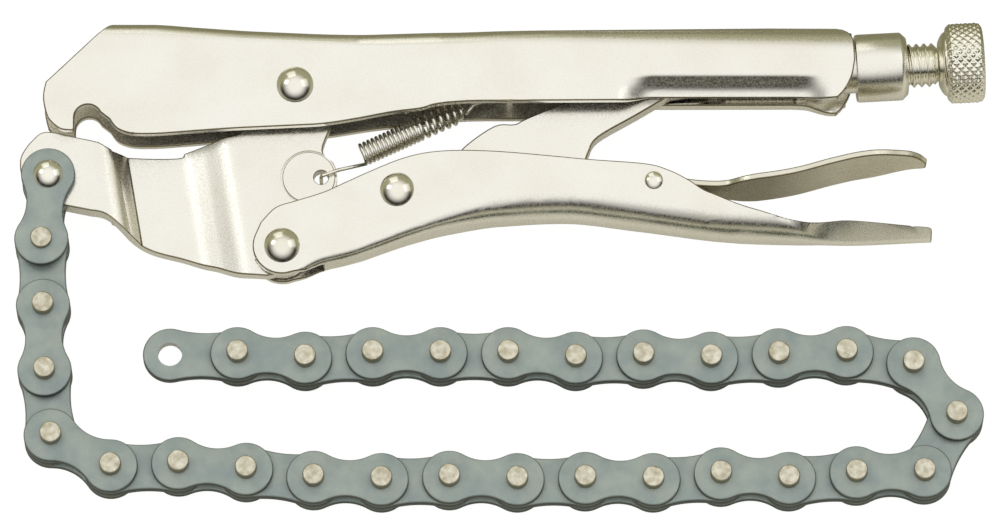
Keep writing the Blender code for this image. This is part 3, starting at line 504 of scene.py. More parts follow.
# the lip's lean at each step, as a share of its dip
LEAN = (0.1, 0.3, 0.5, 0.7, 0.88, 1, 1, 1, 0.98, 0.94, 0.84, 0.7, 0.52, 0.36)
SMALLEST_CORNER = 0.4
WEB_KEPT = 0.2
CORNER_POINTS = 10
STRAIGHT = 0.01
THROUGH = 20  # half the height of the plates that cut right through a piece


def smooth_table(table, count):
    """More rows for a table, by a smooth monotone rule, so that no value swings past its neighbours."""
    table = np.array(table, float)
    x, y = table[:, 0], table[:, 1:]
    slope = np.diff(y, axis=0) / np.diff(x)[:, None]
    tangent = np.zeros_like(y)
    for i in range(1, len(x) - 1):
        same = slope[i - 1] * slope[i] > 0
        tangent[i][same] = (2 * slope[i - 1] * slope[i] / (slope[i - 1] + slope[i] + 1e-12))[same]
    rows = []
    for at_x in np.linspace(x[0], x[-1], count):
        i = min(max(np.searchsorted(x, at_x, side="right") - 1, 0), len(x) - 2)
        h = x[i + 1] - x[i]
        t = (at_x - x[i]) / h
        rows.append((at_x, *((2 * t**3 - 3 * t**2 + 1) * y[i] + (t**3 - 2 * t**2 + t) * h * tangent[i]
                             + (3 * t**2 - 2 * t**3) * y[i + 1] + (t**3 - t**2) * h * tangent[i + 1])))
    return rows


def lip_line(start, half, dip, side, depth):
    """The pressed lip from the cheek to the strip's edge: it turns in over a short bend, then eases back."""
    turns = [dip * share for share in LEAN]
    y, z, line = start, half, []
    for step, turn in enumerate(turns):
        line.append((y + side * depth * math.sin(turn), z - depth * math.cos(turn)))
        run = LIP_BEND / BEND_STEPS if step < BEND_STEPS else LIP_REST / REST_STEPS
        y -= side * run * math.cos(turn)
        z -= run * math.sin(turn)
    return line + [(y + side * depth * math.sin(turns[-1]), z - depth * math.cos(turns[-1]))]


def channel_line(half, corner, web, lip, dip, splay, side, depth=0.0):
    """Half of the section, a depth below the sheet's face: lip, cheek, corner and web up to the middle.

    Where the channel is splayed its cheeks lean outwards by that angle and its web narrows.
    """
    splay = math.radians(splay)
    middle = (half - corner) * max(1 - splay, 0) + WEB_KEPT
    half, corner, web = half - depth, max(corner - depth, SMALLEST_CORNER), web - side * depth
    middle = half - corner if splay < STRAIGHT else middle
    bend = [(web - side * corner * (1 - math.sin(turn)), middle + corner * math.cos(turn))
            for turn in np.linspace(splay, math.pi / 2, CORNER_POINTS)]
    spread = side * (bend[0][0] - lip) * math.tan(splay)
    line = lip_line(lip, bend[0][1] + depth + spread, math.radians(dip), side, depth)[::-1]
    for share in (0.33, 0.67):
        line.append((lip + (bend[0][0] - lip) * share, bend[0][1] + spread * (1 - share)))
    return line + bend + [(web, 0)]


def channel(name, table, side, count):
    """Side is 1 where the web is on top and the strip is open below, and -1 the other way up."""
    loops = []
    for x, *sizes in smooth_table(table, count):
        outer = channel_line(*sizes, side)
        inner = channel_line(*sizes, side, SHEET)
        loop = outer + [(y, -z) for y, z in reversed(outer[:-1])]
        loop += [(y, -z) for y, z in inner] + inner[-2::-1]
        loops.append([at(x, y, z) for y, z in loop])
    return loft(name, loops)


print("a section has", 4 * len(channel_line(8, 3, 15, 0, 30, 0, 1)) - 2, "points")

# %% The upper handle
UPPER_RISE, UPPER_NOSE, UPPER_TAIL = 15.4, 59.4, 132.1
UPPER_LENGTH = UPPER_NOSE + UPPER_TAIL
FRONT_HALF, REAR_HALF, FRONT_CORNER = 6.2, 8.3, 3
HOOK_SET_BACK, HOOK_HEIGHT, HOOK_RADIUS = 10.6, -7.5, 3.2
UPPER_ROWS, EDGE = 180, 0.3
# share of the length, width, corner, web height, start of the lip, dip of the lip
UPPER_STATIONS = [
    (0.0, 0, 0.35, 1.073, -0.66, 0), (0.13, 0, 0.35, 1.073, -0.66, 0), (0.19, 0, 0.35, 1.024, -0.66, 0),
    (0.26, 0, 0.35, 0.965, -0.66, 0), (0.385, 0, 0.35, 0.91, -0.66, 0), (0.44, 0.5, 0.3, 0.908, -0.36, 0),
    (0.5, 0.97, 0.27, 0.908, -0.16, 0), (0.56, 1, 0.27, 0.93, 0.1, 0), (0.6, 1, 0.28, 0.942, 0.182, 0),
    (0.702, 1, 0.37, 0.963, 0.19, 0), (0.75, 1, 0.45, 0.972, 0.22, 42), (0.83, 1, 0.7, 1.01, 0.22, 43),
    (0.92, 1, 0.9, 1.033, 0.22, 43), (0.938, 1, 0.92, 1.033, 0.22, 41), (0.976, 1, 0.93, 1.033, 0.245, 7),
    (1.0, 1, 0.94, 1.033, 0.265, 6),
]
table = []
for share, widen, rounding, web, lip, dip in UPPER_STATIONS:
    half = FRONT_HALF + widen * (REAR_HALF - FRONT_HALF)
    corner = FRONT_CORNER + rounding * (half - FRONT_CORNER)
    x = share * UPPER_LENGTH - UPPER_NOSE
    table.append((x, half, corner, web * UPPER_RISE, lip * UPPER_RISE, dip, 0))
upper = channel("upper_shell", table, 1, UPPER_ROWS)
hook = (HOOK_SET_BACK - UPPER_NOSE, HOOK_HEIGHT)
outline = [(59.4, -9.2), (83, -9.2), (121.5, -6.5)]
outline += spline([(125.6, -4.5), (129, -1.9), (131.3, 2.2), (132.1, 6.5)], 4)
outline += spline([(131.8, 11.4), (130.9, 13.4), (129.2, 14.9), (126.8, 15.95)], 4)
outline += [(124.2, 20), (-41, 18.9)]
outline += spline([(-58.8, 1.4), (-59.28, -0.77), (-59.4, -2.93), (-58.7, -6.3), (-57.7, -8.3),
                   (-55.3, -10.3), (-52.63, -10.7)])
outline += [(hook[0] - HOOK_RADIUS, -10.44)]
outline += arc(hook, HOOK_RADIUS, 180, 25, 18)
outline += spline([(-43.7, -7.9), (-41.9, -10.2), (-38.6, -11.43), (-34.3, -11.6), (-30.1, -11.4),
                   (-21.6, -10.7), (-12.9, -10.1), (-0.2, -9.5), (8.1, -8.9), (21.8, -6.6), (29.5, -5.8),
                   (33, -4.87), (38.3, -4.3), (44.9, -4.06), (56.8, -4.06)])
cut(upper, plate("upper_blank", outline, -THROUGH, THROUGH), "INTERSECT")
ease_edges(upper, EDGE, gap=WIDE_GAP)
dress(upper, "upper", "satin_nickel", "upper_handle")
print("upper handle:", len(upper.data.polygons), "faces")

# %% The lower handle
knee = (-2.871, -38.495)
LOWER_REACH, LOWER_RISE = 152.9, 23
KNEE_HALF, TOGGLE_HALF, TAIL_HALF = 4.7, 5, 7.9
KNEE_CORNER, CORNER_SPAN = 2.4, 2.6
KNEE_LOBE, LOWER_ROWS = 6.9, 150
MOUTH, MOUTH_REACH, MOUTH_HALF = 40, 9.7, 2.5  # the jaw's slot: how far it is open, its end, half its width
# share of the reach, width to the toggle, width to the rear, corner, web height, height of the cheeks, splay
LOWER_STATIONS = [
    (-0.055, 0, 0, 0, -0.62, 1.5, 0), (0.063, 0, 0, 0, -0.184, 1.5, 0), (0.097, 0, 0, 0, -0.126, 1.5, 0),
    (0.127, 1, 0, 0, -0.065, 1.5, 0), (0.139, 1, 0, 0.1, -0.037, 1.5, 0), (0.2, 1, 0.22, 0.25, 0.11, 1.5, 0),
    (0.254, 1, 0.56, 0.6, 0.208, 1.5, 0), (0.333, 1, 0.92, 1.4, 0.286, 1.5, 0),
    (0.431, 1, 1, 1.7, 0.314, 1.5, 0), (0.549, 1, 1, 1.75, 0.227, 1.5, 0),
    (0.69, 1, 1, 1.8, 0.107, 1.1, 0), (0.745, 1, 1, 1.75, 0.09, 0.75, 14),
    (0.79, 1, 1, 1.4, 0.08, 0.45, 38), (0.83, 1, 1, 0.9, 0.07, 0.36, 58), (0.87, 1, 1, 0.7, 0.064, 0.34, 66),
    (1.019, 1, 1, 0.7, 0.1, 0.36, 66),
]
table = []
for share, to_toggle, to_rear, rounding, web, lift, splay in LOWER_STATIONS:
    half = KNEE_HALF + to_toggle * (TOGGLE_HALF - KNEE_HALF) + to_rear * (TAIL_HALF - TOGGLE_HALF)
    corner = KNEE_CORNER + rounding * CORNER_SPAN
    place = (knee[0] + share * LOWER_REACH, knee[1] + web * LOWER_RISE)
    table.append((place[0], half, corner, place[1], knee[1] + lift * LOWER_RISE, 0, splay))
lower = channel("lower_shell", table, -1, LOWER_ROWS)
tail = shares(knee, LOWER_REACH, LOWER_RISE, (
    (0.999, 0.17), (0.992, 0.184), (0.965, 0.19), (0.875, 0.213), (0.813, 0.222), (0.774, 0.26)))
top = shares(knee, LOWER_REACH, LOWER_RISE, (
    (0.774, 0.26), (0.738, 0.33), (0.705, 0.395), (0.666, 0.505), (0.647, 0.56), (0.624, 0.665),
    (0.595, 0.765), (0.558, 0.835), (0.465, 0.885), (0.333, 0.97), (0.242, 0.99), (0.181, 0.918),
    (0.104, 0.7), (0.065, 0.578), (0.023, 0.485), (-0.01, 0.41), (-0.033, 0.25)))
foot = shares(knee, LOWER_REACH, LOWER_RISE, (
    (0.037, -0.25), (0.063, -0.178), (0.063, -0.54), (0.313, -0.54), (1, -0.16)))
outline = spline(tail)[:-1] + spline(top) + arc(knee, KNEE_LOBE, 158, 292, 26) + foot
cut(lower, plate("lower_blank", outline, -THROUGH, THROUGH), "INTERSECT")
left, right, bottom, roof = knee[0] - MOUTH, knee[0] + MOUTH_REACH, knee[1] - MOUTH, knee[1] + MOUTH
mouth = [(left, bottom), (right, bottom), (right, roof), (left, roof)]
cut(lower, plate("mouth", mouth, -MOUTH_HALF, MOUTH_HALF))
ease_edges(lower, EDGE, gap=WIDE_GAP)
dress(lower, "lower", "satin_nickel", "lower_handle")
print("lower handle:", len(lower.data.polygons), "faces")

# %% [markdown]
# ## The jaw
#
# The jaw is a plate pressed into one deep wave, so that its front end sits thick and level in the middle of
# the first link. Its section is drawn once as a smooth line, thickened, run across the jaw and turned to the
# line of the ridges. The blank's outline is cut from it. The low round boss stands in a wider seat, which
# leaves the groove round it.

# %% The jaw's wave, outline, spring hole and seat for the boss
JAW_REACH, JAW_SPAN, JAW_DIP = 64.8, 39.2, 5.6
JAW_THICK, NOSE_THICKER = 3.6, 1.8
RIDGE_TURN, JAW_STRIP = math.radians(9.5), (-90, 30)
JAW_TOP, JAW_KNEE, NOSE_SIZE = 7.5, 6.3, 11.1
chain_pin = (-58.05, -21)
spring_hole, SPRING_HOLE = (6.2, -21), 1.75
boss_centre, BOSS, BOSS_SEAT = (3.3, -21), 6.2, 6.7
SEAT_FLOOR, BOSS_FOOT, BOSS_TOP = 1.1, 1.0, 2.05
SEAT_EDGE, BOSS_EDGE = 0.05, 0.15
# share of the reach, share of the dip, thickening
WAVE = [
    (0.4, 0, 0), (0.1, 0, 0), (-0.12, 0, 0), (-0.2, 0, 0), (-0.27, -0.12, 0), (-0.36, -0.55, 0),
    (-0.44, -0.88, 0), (-0.52, -0.98, 0), (-0.6, -0.98, 0.1), (-0.655, -0.92, 0.3), (-0.685, -0.5, 0.5),
    (-0.715, -0.17, 0.8), (-0.755, -0.04, 0.95), (-0.8, 0, 1), (-0.9, 0, 1), (-1.2, 0, 1),
]
middle = spline([(x * JAW_REACH, z * JAW_DIP, JAW_THICK + thick * NOSE_THICKER) for x, z, thick in WAVE])
half = [thick / 2 for x, z, thick in middle]
section = beside(middle, [-h for h in half]) + beside(middle, half)[::-1]
turn = Matrix.Rotation(RIDGE_TURN, 4, "Z")
jaw = loft("jaw_plate", [[turn @ Vector((x, y, z)) * MM + datum for x, z in section] for y in JAW_STRIP])
rim = arc((0, DATUM_DROP), JAW_TOP, 180, 0, 20)
rim += spline(shares((0, 0), JAW_REACH, JAW_SPAN, (
    (0.131, -0.211), (0.1, -0.364), (0.139, -0.441), (0.153, -0.51), (0.148, -0.593), (0.13, -0.704))))
rim += arc(knee, JAW_KNEE, 30, -100, 16)
rim += spline(shares((0, 0), JAW_REACH, JAW_SPAN, (
    (-0.1, -1.15), (-0.2, -1.127), (-0.28, -1.077), (-0.33, -1.052), (-0.41, -1.007), (-0.514, -0.96),
    (-0.585, -0.896), (-0.68, -0.773), (-0.742, -0.748))))
rim += spline(shares(chain_pin, NOSE_SIZE, NOSE_SIZE, (
    (0.384, -0.644), (-0.024, -0.566), (-0.345, -0.367), (-0.55, -0.043), (-0.608, 0.276), (-0.561, 0.512),
    (-0.357, 0.802), (-0.054, 1.001), (0.635, 0.864))))
rim += spline(shares((0, 0), JAW_REACH, JAW_SPAN, (
    (-0.715, -0.314), (-0.673, -0.349), (-0.64, -0.366), (-0.43, -0.373), (-0.405, -0.349), (-0.363, -0.329),
    (-0.31, -0.304), (-0.26, -0.277), (-0.2, -0.252), (-0.15, -0.141))))
cut(jaw, plate("jaw_blank", rim, -THROUGH, THROUGH), "INTERSECT")
cut(jaw, plate("spring_hole", hole(spring_hole, SPRING_HOLE, 24), -THROUGH, THROUGH))
ease_edges(jaw, EDGE, angle=50, gap=WIDE_GAP)
cut(jaw, plate("boss_seat", hole(boss_centre, BOSS_SEAT, 90), SEAT_FLOOR, 5))
ease_edges(jaw, SEAT_EDGE, segments=1)
dress(jaw, "jaw", "satin_nickel", "jaw")
print("jaw:", len(jaw.data.polygons), "faces")

# %% The jaw's boss
boss = plate("jaw_boss", hole(boss_centre, BOSS, 90), BOSS_FOOT, BOSS_TOP)
cut(boss, plate("boss_hole", hole(spring_hole, SPRING_HOLE, 24), -THROUGH, THROUGH))
ease_edges(boss, BOSS_EDGE)
dress(boss, "jaw", "satin_nickel", "jaw")
print("boss:", len(boss.data.polygons), "faces")

# %% [markdown]
# ## The toggle link and the release lever
#
# The toggle link is a flat bar that props the lower handle against the screw. The release lever is a bent
# tab: its sheet is drawn from the edge, given its width and cut to the plan of its tongue.

# %% The toggle link
elbow = polar(knee, 30.3, 26.5)
tip = (93.276, 4.347)
run, rise = tip[0] - elbow[0], tip[1] - elbow[1]
ELBOW_LOBE, TIP_LOBE, BAR_HALF, BAR_EDGE = 5.5, 4.5, 2.5, 0.35
top = shares(elbow, run, rise, (
    (0.145, 0.123), (0.182, 0.231), (0.226, 0.388), (0.33, 0.565), (0.4, 0.581), (0.45, 0.64), (0.7, 0.895),
    (0.93, 1.13)))
low = shares(elbow, run, rise, (
    (0.93, 0.82), (0.82, 0.66), (0.685, 0.469), (0.652, 0.342), (0.635, 0.235), (0.6, 0.139), (0.5, 0.011),
    (0.28, -0.084), (0.1, -0.16)))
outline = arc(elbow, ELBOW_LOBE, 265, 115, 20) + spline(top) + arc(tip, TIP_LOBE, 110, -70, 20) + spline(low)
toggle = plate("toggle_bar", outline, -BAR_HALF, BAR_HALF)
ease_edges(toggle, BAR_EDGE)
dress(toggle, "toggle", "satin_nickel", "toggle_link")
print("toggle link:", len(toggle.data.polygons), "faces")

# %% The release lever
heel = (knee[0] + 87.37, knee[1] + 15)
LEVER_REACH, LEVER_RISE, LEVER_HALF = 64.5, 8, 9.25
ABOVE_MIDDLE, BELOW_MIDDLE = 0.45, 1.05
NECK_START, NECK_HALF, TONGUE_RISE = -20, 5.4, 60
EYE, NOSE_REACH, NOSE_HALF = 4.1, 13.3, 2.5
line = spline(shares(heel, LEVER_REACH, LEVER_RISE, (
    (-0.005, 0.281), (0.099, 0.119), (0.226, 0.03), (0.376, 0.12), (0.515, 0.3), (0.653, 0.605),
    (0.769, 0.81), (0.931, 0.95), (1, 0.86))), 6)
above = beside(line, [ABOVE_MIDDLE] * len(line))
below = beside(line, [-BELOW_MIDDLE] * len(line))
lever = plate("lever_tab", above + below[::-1], -LEVER_HALF, LEVER_HALF)
# the tongue's half width at shares of the lever's reach
TONGUE = [
    (0.24, NECK_HALF), (0.275, 6.0), (0.32, 7.9), (0.37, 9.05), (0.43, LEVER_HALF), (0.75, LEVER_HALF),
    (0.83, 8.5), (0.9, 6.5), (0.945, 5.1), (0.98, 3.3), (1.0, 1.2), (1.01, 0),
]
plan = [(NECK_START, NECK_HALF)] + spline(shares((0, 0), LEVER_REACH, 1, TONGUE))
plan += [(x, -z) for x, z in reversed(plan[:-1])]
walls = [[at(heel[0] + x, heel[1] + y, z) for x, z in plan] for y in (-TONGUE_RISE, TONGUE_RISE)]
tongue = loft("tongue_plan", walls)
cut(lever, tongue, "INTERSECT")
cut(lever, plate("lever_eye", hole(heel, EYE, 36), -NECK_HALF, NECK_HALF), "UNION")
nose = shares(heel, NOSE_REACH, NOSE_REACH, ((-0.998, 0.222), (-0.08, 0.222), (-0.08, 0.01), (-0.998, 0.045)))
cut(lever, plate("lever_nose", nose, -NOSE_HALF, NOSE_HALF), "UNION")
# the lever's sideways faces take a painted shade, darkest over the lower handle and fading towards the tip
lever.data.materials.append(lever_nickel_painted_shade)
lever.data.materials.append(worn_and_shaded_edge)
ease_edges(lever, EDGE, gap=WIDE_GAP)
dress(lever, "lever", "satin_nickel", "release_lever")
print("release lever:", len(lever.data.polygons), "faces")

# %% [markdown]
# ## The chain
#
# A plate chain repeats two shapes. The plates have two round lobes and a waist drawn in by an arc that
# touches both. One Geometry Nodes tree draws such a plate by formula: it starts from a cylinder and moves
# each point to the plate's rim, and its first and last rings are set in to round the edges. The tree takes
# the link's sizes, its place and its heading, so that every link is the same tree with other numbers.

# %% Helpers for trees of Geometry Nodes
ROUNDING = 1.77


def new_tree(name, *numbers, **others):
    """A tree that takes a place, a heading and other named inputs, and gives one geometry."""
    tree = bpy.data.node_groups.new(name, "GeometryNodeTree")
    kinds = dict.fromkeys((*numbers, "Heading"), "NodeSocketFloat") | {"Place": "NodeSocketVector"} | others
    for label, kind in kinds.items():
        tree.interface.new_socket(name=label, in_out="INPUT", socket_type=kind)
    tree.interface.new_socket(name="Geometry", in_out="OUTPUT", socket_type="NodeSocketGeometry")
    given = add(tree, "NodeGroupInput").outputs
    return tree, {label: Number(given[label]) for label in kinds}, add(tree, "NodeGroupOutput")


def grow(tree, name, **inputs):
    """Run a tree with its inputs set, and return the result as a plain mesh object."""
    thing = new_object(name, bpy.data.meshes.new(name))
    step = thing.modifiers.new("Grow", "NODES")
    step.node_group = tree
    for item in tree.interface.items_tree:
        if item.in_out == "INPUT" and item.name in inputs:
            step[item.identifier] = inputs[item.name]
    bake(thing)
    thing.data.name = name
    return thing


def unit_cylinder(tree, around, along):
    """A cylinder of radius 1 and height 2, with the three numbers of each point's place."""
    sizes = {"Vertices": around, "Side Segments": along, "Radius": 1.0, "Depth": 2.0}
    blank = add(tree, "GeometryNodeMeshCylinder", sizes).outputs["Mesh"]
    return blank, *parts_of(tree, add(tree, "GeometryNodeInputPosition").outputs[0])


def vector(tree, x=0.0, y=0.0, z=0.0):
    return add(tree, "ShaderNodeCombineXYZ", {"X": x, "Y": y, "Z": z}).outputs[0]


def reshape(tree, blank, x, y, z):
    """The mesh with each point moved to its new place."""
    spot = vector(tree, x, y, z)
    return add(tree, "GeometryNodeSetPosition", {"Geometry": blank, "Position": spot}).outputs[0]


def choose(tree, test, if_true, if_false):
    values = {0: test, 2: if_false, 3: if_true}
    return Number(add(tree, "ShaderNodeMix", values, data_type="FLOAT").outputs[0])


def place_and_finish(tree, geometry, given, out, finish):
    """Turn the shape to its heading, move it to its place, and end the tree as a mesh with a material."""
    way = {"Geometry": geometry, "Translation": given["Place"], "Rotation": vector(tree, z=given["Heading"])}
    moved = add(tree, "GeometryNodeTransform", way)
    real = add(tree, "GeometryNodeRealizeInstances", {"Geometry": moved.outputs[0]})
    smooth = add(tree, "GeometryNodeSetShadeSmooth", {"Geometry": real.outputs[0], "Shade Smooth": True})
    done = add(tree, "GeometryNodeSetMaterial", {"Geometry": smooth.outputs[0], "Material": finish})
    tree.links.new(done.outputs[0], out.inputs[0])


def rings(tree, up, flat_share, edge, half):
    """How far each ring of a cylinder is set in, and its height, so that both rims are rounded."""
    past = ramp(tree, abs(up), flat_share, 1.0)
    inset = past**ROUNDING * edge
    level = half - (1.0 - past) ** ROUNDING * edge
    return inset, level * up.do("SIGN")


print("helpers for Geometry Nodes")

# %% The tree of a link's plates
tree, given, out = new_tree("link_plates", "Pitch", "Lobe", "Waist", "Thickness", "Edge", "Spacing")
plates_tree = tree
blank, flat_x, flat_y, up = unit_cylinder(tree, 96, 5)
inset, level = rings(tree, up, 0.2, given["Edge"], given["Thickness"] * 0.5)
lobe, waist, reach = given["Lobe"] - inset, given["Waist"] - inset, given["Pitch"] * 0.5
x = flat_x * (reach + lobe)
from_pin = abs(x) - reach
sweep = (waist**2.0 + reach**2.0 - lobe**2.0) / ((lobe - waist) * 2.0)
touch = reach * sweep / (sweep + lobe)
round_part = (lobe**2.0 - from_pin * from_pin).do("MAXIMUM", 0.0).do("SQRT")
waist_part = waist + sweep - (sweep**2.0 - x * x).do("MAXIMUM", 0.0).do("SQRT")
rim = choose(tree, abs(x) < touch, waist_part, round_part)
shaped = reshape(tree, blank, x + reach, rim * flat_y.do("SIGN"), level)
near, far = vector(tree, z=given["Spacing"]), vector(tree, z=given["Spacing"] * -1.0)
ends = {"Count": 2, "Start Location": near, "Offset": far}
ends = add(tree, "GeometryNodeMeshLine", ends, mode="END_POINTS")
pair = add(tree, "GeometryNodeInstanceOnPoints", {"Points": ends.outputs[0], "Instance": shaped})
single = given["Spacing"] < 0.1 * MM
plates = {0: single, "False": pair.outputs[0], "True": shaped}
choice = add(tree, "GeometryNodeSwitch", plates, input_type="GEOMETRY")
place_and_finish(tree, choice.outputs[0], given, out, blued_steel)
print("plates tree:", len(tree.nodes), "nodes")

# %% The tree of a link's pins
tree, given, out = new_tree("link_pins", "Pitch", "Radius", "Reach", "Edge", Count="NodeSocketInt")
pins_tree = tree
blank, flat_x, flat_y, up = unit_cylinder(tree, 40, 7)
inset, level = rings(tree, up, 0.14, given["Edge"], given["Reach"])
size = given["Radius"] - inset
shaped = reshape(tree, blank, flat_x * size, flat_y * size, level)
start, step = vector(tree, x=given["Pitch"]), vector(tree, x=given["Pitch"] * -1.0)
places = add(tree, "GeometryNodeMeshLine", {"Count": given["Count"], "Start Location": start, "Offset": step})
many = add(tree, "GeometryNodeInstanceOnPoints", {"Points": places.outputs[0], "Instance": shaped})
place_and_finish(tree, many.outputs[0], given, out, pin_steel)
print("pins tree:", len(tree.nodes), "nodes")

# %% Thirty links on their pins
LINKS = 30
PITCH = 15.875 * MM
LOBE = 6.36 * MM
INNER = {"Lobe": LOBE, "Waist": 5.4 * MM, "Thickness": 2.8 * MM, "Edge": 0.45 * MM, "Spacing": 0.0}
OUTER = {"Lobe": LOBE, "Waist": 4.35 * MM, "Thickness": 1.95 * MM, "Edge": 0.4 * MM}
PINS = {"Radius": 2.55 * MM, "Reach": 6.3 * MM, "Edge": 0.4 * MM}
FIRST_SPACING, OUTER_SPACING = 3.975 * MM, 2.625 * MM  # from the middle plane to the middle of a plate
END_HOLE = 2.85
CHAIN_SHARP = math.radians(50)
hinges = [Vector(joints[f"chain_pivot_{number:02d}"]["pos_m"]) for number in range(LINKS)] + [None]
made = []
for number in range(LINKS):
    first, inner = number == 0, number % 2 == 1
    body = "first_link" if first else f"link_{number:02d}"
    node = f"inner_link_{number:02d}" if inner else f"outer_link_{number:02d}"
    low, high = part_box("first_link_near_plate" if first else node)
    ahead = (hinges[number + 1] or (Vector(low) + Vector(high)) / 2) - hinges[number]
    heading = math.atan2(ahead.y, ahead.x)
    common = {"Pitch": PITCH, "Place": (hinges[number].x, hinges[number].y, datum.z), "Heading": heading}
    if inner:
        made.append(grow(plates_tree, f"inner_plate_{number:02d}", **INNER, **common))
        dress(made[-1], body, "blued_steel", node)
    else:
        spacing = FIRST_SPACING if first else OUTER_SPACING
        made.append(grow(plates_tree, f"outer_plates_{number:02d}", Spacing=spacing, **OUTER, **common))
        nodes = ("first_link_near_plate", "first_link_far_plate") if first else (node,)
        dress(made[-1], body, "blued_steel", *nodes)
        made.append(grow(pins_tree, f"pins_{number:02d}", Count=1 if first else 2, **PINS, **common))
        dress(made[-1], body, "pin_steel", "first_link_pin" if first else node)
print(LINKS, "links")

# %% The open end hole of the last link
last = made[-1]
end = hinges[LINKS - 1] + Vector((math.cos(heading), math.sin(heading), 0)) * PITCH
cut(last, plate("end_hole", hole(tuple((end - datum) / MM)[:2], END_HOLE, 40), -5, 5))
last.data.shade_smooth()
for thing in made:
    thing.data.set_sharp_from_angle(angle=CHAIN_SHARP)
print("last link has", len(last.data.polygons), "faces")

# %% [markdown]
# ## Rivets
#
# The joints turn on solid rivets whose ends were spun into low domes. They repeat, so one tree makes them
# all: it bends the rings of a cylinder into a part of a ball, a flat seat and a shank on each side.

# %% The tree of a rivet, and the five rivets
RIM, SHANK_END, SEAT_END = 0.2, 0.18, 0.15  # shares of the half height where dome, shank and seat meet
TIP_LEAN = 0.02
TURNED_SHARP = math.radians(60)
tree, given, out = new_tree("rivet", "Shank", "Head", "Rise", "Seat")
rivet_tree = tree
blank, flat_x, flat_y, up = unit_cylinder(tree, 72, 40)
off = abs(up)
rim = given["Rise"].do("ARCTAN2", given["Head"]) * 2.0
lean = ramp(tree, off, RIM, 1.0, 1.0, TIP_LEAN) * rim
dome = lean.do("SINE") / rim.do("SINE") * given["Head"]
fallen = (lean.do("COSINE") - rim.do("COSINE")) / (1.0 - rim.do("COSINE"))
in_shank = off < SHANK_END
size = choose(tree, in_shank, given["Shank"], dome)
level = choose(tree, in_shank, off / SEAT_END * given["Seat"], given["Seat"] + fallen * given["Rise"])
shaped = reshape(tree, blank, flat_x * size, flat_y * size, level * up.do("SIGN"))
place_and_finish(tree, shaped, given, out, bright_nickel)
# node, body, place, radii of shank and head, rise of the dome, height of its seat, slot
RIVETS = [
    ("jaw_rivet", "upper", (0, DATUM_DROP), 2.75, 4.3, 1.9, 6.5, "bright_steel"),
    ("lower_handle_rivet", "lower", knee, 2.6, 4.15, 1.7, 5.0, "bright_steel"),
    ("toggle_rivet", "lower", elbow, 2.5, 4.1, 1.75, 5.45, "bright_steel"),
    ("lever_rivet", "lower", heel, 1.5, 2.1, 0.7, 8.2, "bright_steel"),
    ("chain_rivet", "first_link", chain_pin, 2.55, 3.4, 1.4, 5.25, "pin_steel"),
]
for node, body, (x, y), shank, head, rise_up, seat, slot in RIVETS:
    thing = grow(rivet_tree, node + "_dome", Shank=shank * MM, Head=head * MM, Rise=rise_up * MM,
                 Seat=seat * MM, Place=tuple(at(x, y)))
    thing.data.set_sharp_from_angle(angle=TURNED_SHARP)
    dress(thing, body, slot, node)
print(len(RIVETS), "rivets")

# %% [markdown]
# ## The adjusting screw
#
# The sleeve is turned and pressed into the handle's rear end. The rod's thread and the knob's knurl are
# displacements with a formula: a thread's height depends on how far along the rod a point is, less its share
# of a turn, and a knurl is two such threads of opposite hand, of which the lower one is kept.

# %% Helpers for turned pieces, and the threaded rod
SLOPE = math.radians(3.1)
seat = at(132.1, 6.45)
CREST, ROOT = 0.12, 0.8  # shares of a turn where the thread's flank starts and ends
END_SIZE = 0.77  # the rod's radius at its chamfered ends, as a share


def turned_piece(tree, around, along):
    """A cylinder to be turned: its mesh, each point's share of the length and of the turn, and its sides."""
    blank, x, y, up = unit_cylinder(tree, around, along)
    return blank, (up + 1.0) * 0.5, y.do("ARCTAN2", x) / (2 * math.pi), x, y


def saw(phase):
    """A line that runs 1, 0, 1 once for each whole number of the phase."""
    return abs(phase.do("FRACT") * 2.0 - 1.0)


def lay_along(tree, blank, axial, size, x, y, given, out, finish):
    """Put each point at its distance along X and its distance from the axis, then lean the piece."""
    shaped = reshape(tree, blank, axial, y * size, x * size)
    flipped = add(tree, "GeometryNodeFlipFaces", {0: shaped})
    place_and_finish(tree, flipped.outputs[0], given, out, finish)


tree, given, out = new_tree("threaded_rod", "Start", "End", "Radius", "Depth", "Pitch")
rod_tree = tree
blank, share, angle, x, y = turned_piece(tree, 48, 330)
axial = given["Start"] + share * (given["End"] - given["Start"])
flank = ramp(tree, saw(axial / given["Pitch"] + angle), CREST, ROOT)
nearest = (axial - given["Start"]).do("MINIMUM", given["End"] - axial)
size = (given["Radius"] - flank * given["Depth"]).do("MINIMUM", nearest + given["Radius"] * END_SIZE)
lay_along(tree, blank, axial, size, x, y, given, out, bright_nickel)
rod = grow(rod_tree, "threaded_rod", Start=-31.58 * MM, End=19.7 * MM, Radius=5.2 * MM, Depth=0.75 * MM,
           Pitch=1.8 * MM, Place=tuple(seat), Heading=SLOPE)
rod.data.set_sharp_from_angle(angle=TURNED_SHARP)
dress(rod, "screw", "bright_steel", "adjusting_screw")
print("threaded rod:", len(rod.data.polygons), "faces")

